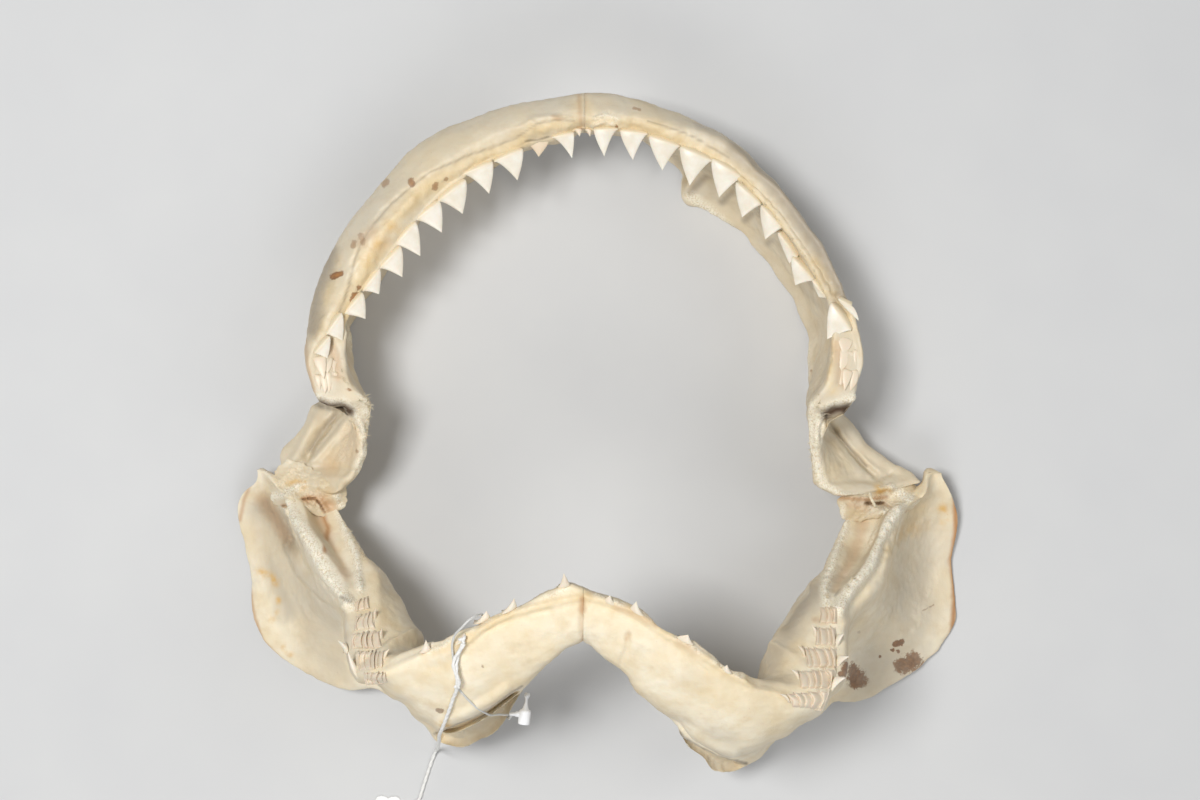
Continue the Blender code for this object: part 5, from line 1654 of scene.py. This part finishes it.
def file_of_teeth(batch, name, row, old):
    """One file: teeth that overlap like pages, each with its cusp on the upper edge."""
    *corners, count, cusp = row
    corners = [np.array(corner, float) for corner in corners]
    upward = unit(corners[0] + corners[2] - corners[1] - corners[3])
    inward = unit(corners[2] + corners[3] - corners[0] - corners[1])
    long, wide = FILE_STEPS * count + 1, FILE_WIDE
    jitter = [RNG.uniform(*FILE_JITTER) for _ in range(count + 2)]
    bow, phase = RNG.uniform(*FILE_BOW), RNG.uniform(*FILE_PHASE)
    middle = sum(corners) / 4
    ground, _ = under(name, *middle)
    top, low, gap = [], [], []
    for i in range(long):
        u = i / (long - 1)
        for j in range(wide):
            v = j / (wide - 1)
            seat = corners[0] * (1 - u) * v + corners[1] * (1 - u) * (1 - v)
            seat = seat + corners[2] * u * v + corners[3] * u * (1 - v)
            turn = (u + SWAY * math.sin(SWAY_RATE * u + phase)) * count
            ripple = RIPPLE * math.sin(RIPPLE_RATE * v + RIPPLE_SHIFT * phase)
            turn += bow * (1 - (2 * v - 1) ** 2) - LEAN * v**3 + ripple
            size = jitter[int(math.floor(turn)) % (count + 2)]
            part = turn - math.floor(turn)
            rise = FILE_RISE * size * blade_rise(part) * (RISE_LOW + RISE_MORE * v)
            ends = min(u * count * ENDS_RATE, (1 - u) * count * ENDS_RATE)
            edge = min(ends, v * LOWER_RATE, (1 - v) * UPPER_RATE, 1.0)
            seat = seat + (upward * CUSP + inward * CUSP_IN) * v**CUSP_UP * part**CUSP_ALONG * size
            hit, _ = under(name, *seat)
            floor_z = min(max(hit[2], ground[2] - GROUND_BAND), ground[2] + GROUND_BAND)
            top_z = floor_z + (FILE_ABOVE + rise) * edge - FILE_EDGE * (1 - edge)
            top.append(at_pixel(*seat, top_z))
            low.append(at_pixel(*seat, floor_z - FILE_UNDER))
            # Painted shade in the gap between two teeth and along the file's lower edge.
            seam = max(0.0, 1 - abs(part - GAP_AT) / GAP_HALF)
            seam *= GAP_LEAST + GAP_MORE * size / FILE_JITTER[1]
            gap.append(min(1.0, max(seam, GAP_EDGE * (1 - edge) * (v < 0.5))))
    points = np.array(top + low)
    faces = looking_up(points, slab_faces(long, wide))
    batch.add(points, faces, [FILE_ROOT] * len(points), old=old, gap=gap + [0.0] * len(gap))
    if cusp:
        high, low_end = corners[2], corners[2] * LAST_REACH + corners[3] * (1 - LAST_REACH)
        hit, _ = under(name, *((high + low_end) / 2))
        ground_z = hit[2] + LAST_ABOVE
        last = tooth(at_pixel(*low_end, ground_z), at_pixel(*high, ground_z),
                     at_pixel(*cusp, ground_z + LAST_RISE), (0, 0, 1), LAST_THICK, LAST_ROOT,
                     notch=LAST_NOTCH, belly=LAST_BELLY, **SMALL_GRID)
        batch.add(*last, old=old * LAST_OLD)


def small_tooth(batch, name, low, high, tip, rise, old, fullness=1.0):
    """A tooth that stands over an edge: its base corners and tip as the camera sees them."""
    middle = (np.array(low, float) + np.array(high, float)) / 2
    base, _ = under(name, *(middle + (middle - tip) * SMALL_BEHIND))
    made = tooth(at_pixel(*low, base[2]), at_pixel(*high, base[2]),
                 at_pixel(*tip, base[2] + rise), SMALL_FACE, SMALL_THICK / fullness**SMALL_THIN,
                 SMALL_ROOT, notch=SMALL_NOTCH * fullness, belly=SMALL_BELLY * fullness,
                 **SMALL_GRID)
    batch.add(*made, old=old)


# The functional row: how far behind its base a tooth takes its height from the gum (pixels), how
# far its tip is drawn out (pixels) and lies lower (mm), its thickness where it stands raised and
# elsewhere, its root's length (shares of its width), its shape, and, for a tooth that lies lower
# than the sunk height (mm), how much of the old teeth's colour it takes as painted shade.
GUM_COVER = 3.0
TIP_OUT, TIP_DOWN = 1.5, 0.8
RAISED_THICK, ROW_THICK = 0.20, 0.30
ROW_ROOT = 0.30
ROW_NOTCH, ROW_BELLY = 0.60, 1.36
SUNK, SUNK_SHADE = -1, 0.9


def upper_row(word, side):
    """The functional row of one upper half, each tooth standing out of the gum."""
    batch = Batch()
    corners = [[np.array(point, float) for point in row[:3]] for row in UPPER_TEETH[side]]
    raised = [row[3] if len(row) > 3 else 0.0 for row in UPPER_TEETH[side]]
    heights = []
    for a, b, tip in corners:
        middle = (a + b) / 2
        hit, _ = under(f"upper_jaw_{word}", *(middle + unit(middle - tip) * GUM_COVER))
        heights.append(hit[2])
    heights = [heights[0]] + heights + [heights[-1]]
    for k, (a, b, tip) in enumerate(corners):
        z = max(sorted(heights[k : k + 3])[1], heights[k + 1]) + raised[k]
        size = np.linalg.norm(at_pixel(*a, z) - at_pixel(*b, z))
        end = at_pixel(*(tip + unit(tip - (a + b) / 2) * TIP_OUT), z - TIP_DOWN)
        thick = (RAISED_THICK if raised[k] > 0 else ROW_THICK) * size
        made = tooth(at_pixel(*a, z), at_pixel(*b, z), end, (0, 0, 1), thick, ROW_ROOT * size,
                     notch=ROW_NOTCH, belly=ROW_BELLY)
        batch.add(*made, old=SUNK_SHADE if raised[k] < SUNK else 0.0)
    return batch


# The age of the teeth: front teeth, a corner's first file and the others, the teeth over the
# wing, those at the upper jaw's corner and the crumbs.
FRONT_OLD = 0.35
FIRST_FILE_OLD, FILE_OLD = 0.75, 0.60
TIP_OLD = 0.1
CORNER_OLD, CRUMB_OLD = 0.7, 0.5


for side, word in ((LEFT, "left"), (RIGHT, "right")):
    name = f"lower_jaw_{word}"
    batch = Batch()
    upper_batch = upper_row(word, side)
    for low, high, tip, rise in LOWER_FRONT[word]:
        small_tooth(batch, name, low, high, tip, rise, FRONT_OLD)
    for k, row in enumerate(FILES[word]):
        file_of_teeth(batch, name, row, FIRST_FILE_OLD if k == 0 else FILE_OLD)
    for low, high, tip, rise in OUTER_TIPS[word]:
        small_tooth(batch, name, low, high, tip, rise, TIP_OLD)
    for low, high, tip, rise in UPPER_CORNER[word]:
        small_tooth(upper_batch, f"upper_jaw_{word}", low, high, tip, rise, CORNER_OLD, PETAL)
    for low, high, tip, rise in CRUMBS[word]:
        small_tooth(upper_batch, f"upper_jaw_{word}", low, high, tip, rise, CRUMB_OLD)
    lower_teeth = batch.make(f"lower_teeth_{word}", ENAMEL)
    upper_teeth = upper_batch.make(f"upper_teeth_{word}", ENAMEL)
    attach(lower_teeth, "root")
    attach(upper_teeth, "root")
    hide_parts(f"lower_jaw_{word}")
    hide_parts(f"upper_jaw_{word}")
    for key in (f"lower_jaw_{word}", f"upper_jaw_{word}"):
        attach(cartilage[key], "root")

# ---------------------------------------------------------------- joints

# Dried tissue over each joint, all in pixels. Seats: points of the halves that it rests on.
# Lumps: middle, width, height (mm). Cracks: lines. Colours: layer, line, half width, strength.
TISSUE = {
    "left": {
        "outline": ((272, 476), (278, 466), (290, 460), (304, 465), (319, 472), (334, 479), (346, 489),
                    (345, 505), (334, 512), (320, 516), (306, 510), (294, 508), (281, 507), (270, 499),
                    (268, 487)),
        "seats": (("upper_jaw_left", (300, 474)), ("upper_jaw_left", (326, 482)),
                  ("lower_jaw_left", (268, 500)), ("lower_jaw_left", (298, 514)),
                  ("lower_jaw_left", (336, 512))),
        "lumps": (((292, 492), 6.0, 1.7), ((301, 486), 4.5, 1.5), ((283, 497), 5.5, 1.5),
                  ((274, 496), 4.0, 1.2), ((279, 482), 6.0, 0.8), ((288, 474), 8.0, 0.6),
                  ((315, 489), 9.0, 0.7), ((337, 498), 4.0, 1.3), ((343, 508), 4.0, 0.9),
                  ((312, 507), 4.0, 0.9), ((329, 505), 3.5, -1.2)),
        "cracks": (((283, 506), (295, 504), (303, 499), (315, 498), (321, 505), (325, 512)),),
        "colours": (("grain", ((272, 498), (282, 494), (292, 489), (303, 484)), 6.0, 1.0),
                    ("gum", ((270, 474), (284, 476), (296, 474)), 14.0, 0.6),
                    ("gum", ((320, 480), (336, 486)), 10.0, 0.5),
                    ("amber", ((282, 487), (296, 481), (305, 482)), 3.5, 0.55),
                    ("amber", ((304, 488), (316, 493), (326, 494)), 6.0, 0.5),
                    ("tan", ((308, 500), (322, 498), (332, 506)), 8.0, 0.8),
                    ("rust", ((283, 506), (295, 504), (303, 499), (315, 498)), 3.4, 0.6),
                    ("rust", ((322, 500), (328, 510)), 4.0, 0.5),
                    ("grain", ((336, 494), (341, 506)), 4.5, 0.9)),
    },
    "right": {
        "outline": ((838, 500), (846, 494), (862, 494), (874, 488), (884, 482), (900, 480), (914, 484),
                    (921, 494), (918, 505), (906, 512), (890, 516), (872, 518), (856, 522), (843, 518)),
        "seats": (("upper_jaw_right", (850, 490)), ("upper_jaw_right", (894, 476)),
                  ("lower_jaw_right", (852, 526)), ("lower_jaw_right", (880, 522)),
                  ("lower_jaw_right", (922, 506))),
        "lumps": (((900, 495), 6.5, 1.6), ((911, 499), 6.0, 1.5), ((892, 489), 5.0, 1.3),
                  ((897, 506), 6.0, 0.8), ((882, 490), 5.0, 1.0), ((852, 506), 6.0, 1.0),
                  ((864, 508), 5.0, 0.7), ((848, 514), 5.0, 0.8), ((880, 510), 6.0, 0.6),
                  ((869, 503), 3.0, -1.6), ((880, 503), 3.0, -1.6)),
        "cracks": (((866, 503), (873, 504), (883, 503)),),
        "colours": (("grain", ((890, 489), (902, 495), (914, 500)), 8.0, 1.0),
                    ("grain", ((884, 512), (900, 506)), 7.0, 0.9),
                    ("amber", ((878, 492), (889, 492)), 6.0, 0.8),
                    ("rust", ((840, 498), (856, 499), (866, 500), (886, 497)), 3.0, 0.60),
                    ("rust", ((884, 504), (896, 510), (908, 512)), 2.4, 0.35),
                    ("shade", ((866, 503), (882, 503)), 2.2, 0.55),
                    ("gum", ((846, 510), (860, 514)), 9.0, 0.9),
                    ("tan", ((850, 505), (866, 508)), 5.0, 0.6),
                    ("grain", ((842, 506), (842, 518)), 4.0, 0.8)),
    },
}
# A sheet's rings above and below, where both start and the lower ones turn back (shares of the
# way to the outline), and its points to each corner of the outline.
TOP_RINGS, UNDER_RINGS = 60, 12
RING_FIRST, RING_BACK = 0.02, 0.96
OUTLINE_STEPS = 14
# How far its outline is ragged, and the size of the rags (pixels).
RAGGED, RAG_SIZE = 2.2, 7.0
# How softly the seats' heights blend (square pixels), and how far under their blend the ground
# lies where nothing is below, and how far down it is looked for (mm).
SEAT_BLEND = 30.0
SUNK_GROUND, GROUND_REACH = 1.0, 5.0
# The blur of the ground under the sheet: rounds, steps to each side and inwards.
SHEET_BLUR, BLUR_SIDE, BLUR_IN = 10, 4, 3
SHEET_THICK = 0.3
PIXELS_PER_MM = 3.2
# Sizes of its broad and small noise and its grains, and their relief (mm). A sheet's seed and
# the next two are for its broad and its small noise and for its rags.
SHEET_BROAD, SHEET_SMALL, SHEET_GRAIN = 2.6, 0.8, 1.2
BROAD_HEIGHT, SMALL_HEIGHT, GRAIN_HEIGHT = 0.40, 0.25, 0.22
# Its ground colours, and how noise changes the distance from a colour's line and its reach.
SHEET_GREY, SHEET_GUM = 0.45, 0.30
COLOUR_BROAD, COLOUR_SMALL, COLOUR_REACH = 0.35, 0.25, 1.3
# Its cracks: how noise moves them (pixels), depth (mm) and half width (pixels), and strength and
# half width of their shade and rust.
CRACK_SMALL, CRACK_BROAD = 0.9, 0.6
CRACK_DEPTH, CRACK_WIDTH = 0.9, 2.0
CRACK_COLOURS = (("shade", 0.50, 1.2), ("rust", 0.60, 3.0))
# Where its edge starts to dip and over how much (shares of the way out), how far it dips under
# the ground, and how far down its underside lies at the edge and further in the middle (mm).
RIM_FROM, RIM_WIDTH, RIM_DIP = 0.55, 0.45, 0.5
UNDERSIDE, UNDERSIDE_MORE = 3.0, 2.0


def sheet_rings(corners, seed):
    """Outline of a sheet with its rags, its middle, and the shares at which its rings lie."""
    corners = np.array(corners, float)
    outline = closed_curve(corners[None], [OUTLINE_STEPS] * len(corners))[0]
    middle = outline.mean(axis=0)
    places = np.column_stack([outline, np.zeros(len(outline))])
    ragged = rough(places, RAG_SIZE, OCTAVES, seed + 2)
    outline = outline + unit(outline - middle) * RAGGED * ragged[:, None]
    above = np.linspace(RING_FIRST, 1.0, TOP_RINGS)
    below = np.linspace(RING_BACK, RING_FIRST, UNDER_RINGS)
    return outline, middle, np.concatenate([above, below])


def sheet_ground(pixels, seats, word):
    """Blended height of the seats, and height of the halves under each point."""
    weight, height = np.zeros(len(pixels)), np.zeros(len(pixels))
    for half, seat in seats:
        hit, _ = under(half, *seat)
        near = 1 / (np.linalg.norm(pixels - seat, axis=1) ** 2 + SEAT_BLEND)
        weight += near
        height += near * hit[2]
    base = height / weight
    ground = base - SUNK_GROUND
    for half in (f"upper_jaw_{word}", f"lower_jaw_{word}"):
        for i in range(len(pixels)):
            aim = Vector(at_pixel(*pixels[i], 0.0) - EYE).normalized()
            hit, _, _, _ = trees[half].ray_cast(Vector(EYE), aim)
            if hit is not None and hit.z > base[i] - GROUND_REACH:
                ground[i] = max(ground[i], hit.z)
    return base, ground


def blurred(sheet):
    """Rings of heights, blurred round the sheet and from ring to ring."""
    around, across = 2 * BLUR_SIDE + 1, 2 * BLUR_IN + 1
    for _ in range(SHEET_BLUR):
        wide = sum(np.roll(sheet, k, axis=1) for k in range(-BLUR_SIDE, BLUR_SIDE + 1)) / around
        padded = np.pad(wide, ((BLUR_IN, BLUR_IN), (0, 0)), mode="edge")
        sheet = sum(padded[k : k + TOP_RINGS] for k in range(across)) / across
    return sheet


def tissue(name, word, form, seed):
    """A closed sheet of dried tissue that follows its neighbours and dips under at its outline."""
    outline, middle, out = sheet_rings(form["outline"], seed)
    sides = len(outline)
    tops = TOP_RINGS * sides
    pixels = np.concatenate([middle + share * (outline - middle) for share in out])
    share = np.repeat(out, sides)
    base, ground = sheet_ground(pixels, form["seats"], word)
    level = base.copy()
    level[:tops] = blurred(ground[:tops].reshape(TOP_RINGS, sides)).ravel() + SHEET_THICK
    for place, width, rise in form["lumps"]:
        level += rise * np.exp(-((np.linalg.norm(pixels - place, axis=1) / width) ** 2))
    across, down = pixels[:, 0] / PIXELS_PER_MM, -pixels[:, 1] / PIXELS_PER_MM
    flat = np.stack([across, down, np.zeros(len(pixels))], axis=1)
    broad = rough(flat, SHEET_BROAD, OCTAVES, seed)
    small = rough(flat, SHEET_SMALL, OCTAVES, seed + 1)
    layers = {layer: np.zeros(len(pixels)) for layer in LAYERS}
    layers["grey"] += SHEET_GREY
    layers["gum"] += SHEET_GUM
    for layer, line, width, strength in form["colours"]:
        away = line_distance(pixels, line) * (1 + COLOUR_BROAD * broad + COLOUR_SMALL * small)
        layers[layer] = np.maximum(layers[layer], strength * fade(away, width * COLOUR_REACH))
    for crack in form["cracks"]:
        away = line_distance(pixels, crack) + CRACK_SMALL * small + CRACK_BROAD * broad
        away = np.maximum(away, 0)
        level -= CRACK_DEPTH * fade(away, CRACK_WIDTH)
        for layer, strength, width in CRACK_COLOURS:
            layers[layer] = np.maximum(layers[layer], strength * fade(away, width))
    mineral = layers["grain"] * GRAIN_HEIGHT * grains(flat, SHEET_GRAIN, seed)
    level += BROAD_HEIGHT * broad + SMALL_HEIGHT * small + mineral
    rim = np.clip((share - RIM_FROM) / RIM_WIDTH, 0, 1) ** 2
    above = level * (1 - rim) + (ground - RIM_DIP) * rim
    below = base - UNDERSIDE - UNDERSIDE_MORE * (1 - share)
    z = np.where(np.arange(len(pixels)) < tops, above, below)
    points = at_pixel(pixels[:, 0], pixels[:, 1], z).T
    faces = looking_up(points, tube_faces(len(out), sides))
    return new_object(name, points, faces, CARTILAGE, layers)


for seed, word in ((1.0, "left"), (2.0, "right")):
    obj = tissue(f"joint_ligament_{word}", word, TISSUE[word], seed)
    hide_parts(f"jaw_joint_{word}")
    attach(obj, "root")

# The stitch over the right joint's crack: pixels and heights (mm), spacing and sides of its
# sections, its radius, the height of its beads (mm) and how closely they follow (per mm).
STITCH = ((869.5, 493, 27.5), (870.5, 497, 28.6), (872.5, 501, 28.9), (874.5, 505, 28.2),
          (875.4, 507, 26.8))
STITCH_STEP = 0.3
STITCH_SIDES = 10
STITCH_RADIUS, BEAD_HEIGHT, BEAD_RATE = 0.42, 0.05, 5


def stitch_radius(run, _):
    """Radius of the stitch along its run."""
    return STITCH_RADIUS + BEAD_HEIGHT * math.sin(run * BEAD_RATE)


stitch_path, _ = route_points([at_pixel(*place) for place in STITCH], STITCH_STEP)
points, faces = sweep(stitch_path, STITCH_SIDES, stitch_radius)
stitch = new_object("joint_stitch", points, faces, FIBRE)
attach(stitch, "root")

# ---------------------------------------------------------------- fibres

# Fringes of dried tissue: half, line along which they stand (pixels), how many, length (mm).
FRINGES = (
    ("upper_jaw_left", ((364, 396), (370, 408), (367, 425), (366, 445)), 60, 2.0),
    ("upper_jaw_left", ((352, 345), (360, 372), (364, 392)), 30, 0.9),
    ("upper_jaw_right", ((700, 206), (728, 230), (760, 268), (784, 304), (800, 340)), 80, 0.8),
    ("upper_jaw_right", ((806, 405), (806, 430), (810, 455), (815, 478)), 50, 0.9),
    ("lower_jaw_left", ((345, 520), (356, 545), (366, 560)), 45, 0.9),
    ("lower_jaw_right", ((842, 512), (838, 530), (826, 556), (818, 572)), 50, 0.9),
)
# How far a fibre may stand off its line (pixels), lean and differ in length, and how it bends.
FIBRE_ASTRAY, FIBRE_LEAN, FIBRE_LENGTH = 2, 0.9, (0.4, 1.3)
FIBRE_BEND = 0.25
# Shares of a fibre's length at which it has a ring of points, and its radius there (mm); and the
# points of a ring.
FIBRE_RINGS = ((-0.2, 0.10), (0.5, 0.07), (1.0, 0.02))
FIBRE_SIDES = 3
# A direction that no fibre takes.
FIBRE_SIDE = (0.2, 0.4, 0.9)

fibres, fibre_faces = [], []
for name, line, count, length in FRINGES:
    line = np.array(line, float)
    for i in range(count):
        share = (i + RNG.random()) / count * (len(line) - 1)
        k = min(int(share), len(line) - 2)
        px, py = line[k] + (line[k + 1] - line[k]) * (share - k)
        px += RNG.uniform(-FIBRE_ASTRAY, FIBRE_ASTRAY)
        py += RNG.uniform(-FIBRE_ASTRAY, FIBRE_ASTRAY)
        base, normal = under(name, px, py)
        lean = np.array([RNG.uniform(-FIBRE_LEAN, FIBRE_LEAN) for _ in range(3)])
        way = unit(normal + lean)
        side_way = unit(np.cross(way, FIBRE_SIDE))
        other = np.cross(way, side_way)
        reach = length * RNG.uniform(*FIBRE_LENGTH)
        start = len(fibres)
        for level, thick in FIBRE_RINGS:
            bend = side_way * reach * FIBRE_BEND * level**2
            for m in range(FIBRE_SIDES):
                angle = 2 * math.pi * m / FIBRE_SIDES
                fibres.append(base + way * reach * level + bend
                              + thick * (side_way * math.cos(angle) + other * math.sin(angle)))
        tube = tube_faces(len(FIBRE_RINGS), FIBRE_SIDES)
        fibre_faces += [tuple(start + k for k in face) for face in tube]
fringe = new_object("tissue_fringe", fibres, fibre_faces, FIBRE)
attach(fringe, "root")

# ---------------------------------------------------------------- label


# A knot's path: steps, how far its loops cross, its depth and how flat it lies (shares of its
# radius); and its cord: sides, radius in the valley between the strands, what a strand adds
# (shares) and the strands' turn (radians per mm).
KNOT_STEPS, KNOT_SIDES = 160, 12
KNOT_CROSS, KNOT_DEPTH, KNOT_FLAT = 0.55, 0.75, 0.8
KNOT_VALLEY, KNOT_RISE = 0.8, 0.2
KNOT_TURN = 2.0


def knot(name, centre, radius, thick, tilt):
    """A small overhand knot: a cord wound into a ball, of a radius and a cord's radius in mm."""
    path = []
    for i in range(KNOT_STEPS + 1):
        t = 2 * math.pi * i / KNOT_STEPS
        x = math.sin(t) + KNOT_CROSS * math.sin(2 * t)
        y = math.cos(t) - KNOT_CROSS * math.cos(2 * t)
        z = -KNOT_DEPTH * math.sin(3 * t)
        c, s = math.cos(tilt), math.sin(tilt)
        turned = np.array((c * x - s * y, s * x + c * y, z * KNOT_FLAT))
        path.append(np.array(centre) + radius * turned)

    def cord_radius(_, angle):
        return thick * (KNOT_VALLEY + KNOT_RISE * abs(math.cos(angle)))

    points, faces = sweep(path, KNOT_SIDES, cord_radius, KNOT_TURN)
    return new_object(name, points, faces, COTTON)


# The string's second strand: its run, how far it stands off and one turn round the first (mm).
LOOP_RUN = 15.0
LOOP_SPREAD = 0.85
LOOP_TURN = 13.0
# How far it is drawn in at its ends, how flat its turn is, its rise and the turn's share of it.
LOOP_TAPER = (0.06, 0.94)
LOOP_FLAT, LOOP_RISE, LOOP_ROLL = 0.3, 0.6, 0.4
# How far the loop's knot stands off the end of that strand (mm).
LOOP_KNOT_OFF = (0.0, 0.2, 0.2)
held = string_path[: int(LOOP_RUN / STRING_STEP)]
turn = 2 * math.pi * np.arange(len(held)) * STRING_STEP / LOOP_TURN
taper = np.sin(np.pi * np.clip(np.arange(len(held)) / (len(held) - 1), *LOOP_TAPER))
rise = LOOP_RISE + LOOP_ROLL * np.sin(turn)
aside = np.stack([np.cos(turn), LOOP_FLAT * np.sin(turn), rise], axis=1)
returned = held + LOOP_SPREAD * aside * np.sqrt(taper)[:, None]
points, faces = sweep(returned, RETURN_SIDES, two_ply, 2 * math.pi / STRING_TURN)
string_return = new_object("string_return", points, faces, COTTON)
loop_knot = knot("loop_knot", held[-1] + LOOP_KNOT_OFF, radius=0.42, thick=0.42, tilt=0.9)
for obj in (string_return, loop_knot):
    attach(obj, "root")

string_knot = knot("string_knot_detail", (-37.05, -54.5, 87.2), radius=0.56, thick=0.46, tilt=0.4)
tag_knot = knot("tag_knot_detail", (-66.3, -119.5, 2.1), radius=0.68, thick=0.44, tilt=1.2)
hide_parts("string_knot")
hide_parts("tag_knot")
for obj in (string_knot, tag_knot):
    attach(obj, "root")

# The lock pin: distances from its knob's end and radii there (mm), its two ends; and its barb:
# the two ends, and distances and radii (mm).
PIN_PROFILE = (
    (0.00, 0.20),
    (0.12, 0.50),
    (0.35, 0.74),
    (0.70, 0.84),
    (1.10, 0.80),
    (1.50, 0.60),
    (1.90, 0.38),
    (2.80, 0.42),
    (3.80, 0.62),
    (4.80, 0.95),
    (5.00, 1.30),
    (5.15, 1.58),
    (5.45, 1.72),
    (5.90, 1.75),
    (8.80, 1.75),
    (9.15, 1.68),
    (9.35, 1.50),
    (9.40, 1.20),
)
PIN_KNOB = np.array((-20.85, -74.8, 46.0))
PIN_FOOT = np.array((-21.95, -84.15, 46.0))
BARB = (np.array((-22.6, -81.1, 46.0)), np.array((-26.1, -81.1, 46.3)))
BARB_PROFILE = ((0, 0.9), (1.6, 0.8), (1.9, 0.55), (3.3, 0.5), (3.5, 0.35))
PIN_SIDES, BARB_SIDES = 32, 20


def lathe(start, stop, profile, sides):
    """A turned solid from one end to the other, with a profile of distances and radii."""
    distances, radii = np.array(profile).T
    path = [start + unit(stop - start) * distance for distance in distances]
    return sweep(path, sides, lambda run, _: np.interp(run, distances, radii))


pin_points, pin_faces = lathe(PIN_KNOB, PIN_FOOT, PIN_PROFILE, PIN_SIDES)
barb_points, barb_faces = lathe(*BARB, BARB_PROFILE, BARB_SIDES)
offset = len(pin_points)
pin = new_object(
    "lock_pin_detail",
    list(pin_points) + list(barb_points),
    list(pin_faces) + [tuple(i + offset for i in face) for face in barb_faces],
    PLASTIC,
)
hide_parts("lock_pin")
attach(pin, "root")

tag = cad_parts["tag"]
for slot in tag.material_slots:
    slot.material = CARD

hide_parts("tag_string")
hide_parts("nylon_loop")
for obj, slot in ((string, "cotton"), (loop, "nylon")):
    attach(obj, "root")

# ---------------------------------------------------------------- floor and light

# The floor: half its side (mm), how far it lies below zero (m), its two greys, their scale
# (features per metre) and its roughness.
FLOOR_HALF = 3000
FLOOR_DOWN = 0.00002
FLOOR_DARK, FLOOR_LIGHT = (0.58, 0.58, 0.58), (0.62, 0.62, 0.61)
FLOOR_SCALE, FLOOR_ROUGH = 30.0, 0.9
# The softboxes: place, width and depth (m) and power (W). All look at one point of the jaw (m).
LIGHTS = {
    "key": ((-0.30, 0.10, 0.93), (0.26, 0.26), 7.0),
    "fill": ((0.75, 0.10, 0.70), (0.6, 0.6), 2.1),
    "front": ((0.0, -0.80, 0.75), (0.7, 0.4), 2.8),
}
LIT_POINT = (0.0, 0.0, 0.03)
SKY, SKY_STRENGTH = (0.92, 0.95, 1.0, 1.0), 0.24

floor_material = Nodes("pale_floor")
mottle = floor_material.noise(FLOOR_SCALE, 2.0)
floor_material.colour(floor_material.mix(mottle, FLOOR_DARK, FLOOR_LIGHT))
floor_material.set(Roughness=FLOOR_ROUGH)
corner_signs = ((-1, -1), (1, -1), (1, 1), (-1, 1))
floor_corners = [(x * FLOOR_HALF, y * FLOOR_HALF, 0) for x, y in corner_signs]
floor = new_object("floor", floor_corners, [(0, 1, 2, 3)], floor_material.made, smooth_shaded=False)
floor.location.z = -FLOOR_DOWN
floor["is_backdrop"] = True


def softbox(name, place, size, power):
    """A rectangular light that looks at the jaw."""
    light = bpy.data.lights.new(name, "AREA")
    light.shape = "RECTANGLE"
    light.size, light.size_y = size
    light.energy = power
    obj = bpy.data.objects.new(name, light)
    obj.location = place
    aim = Vector(LIT_POINT) - Vector(place)
    obj.rotation_euler = aim.to_track_quat("-Z", "Y").to_euler()
    bpy.context.scene.collection.objects.link(obj)


for name, (place, size, power) in LIGHTS.items():
    softbox(name, place, size, power)
world = bpy.data.worlds.new("studio")
bpy.context.scene.world = world
world.use_nodes = True
background = world.node_tree.nodes["Background"]
background.inputs["Color"].default_value = SKY
background.inputs["Strength"].default_value = SKY_STRENGTH
bpy.context.scene.view_settings.view_transform = "Standard"

size = {"cad": [list(v) for v in CAD_BOX], "visual": [list(v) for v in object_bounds()]}
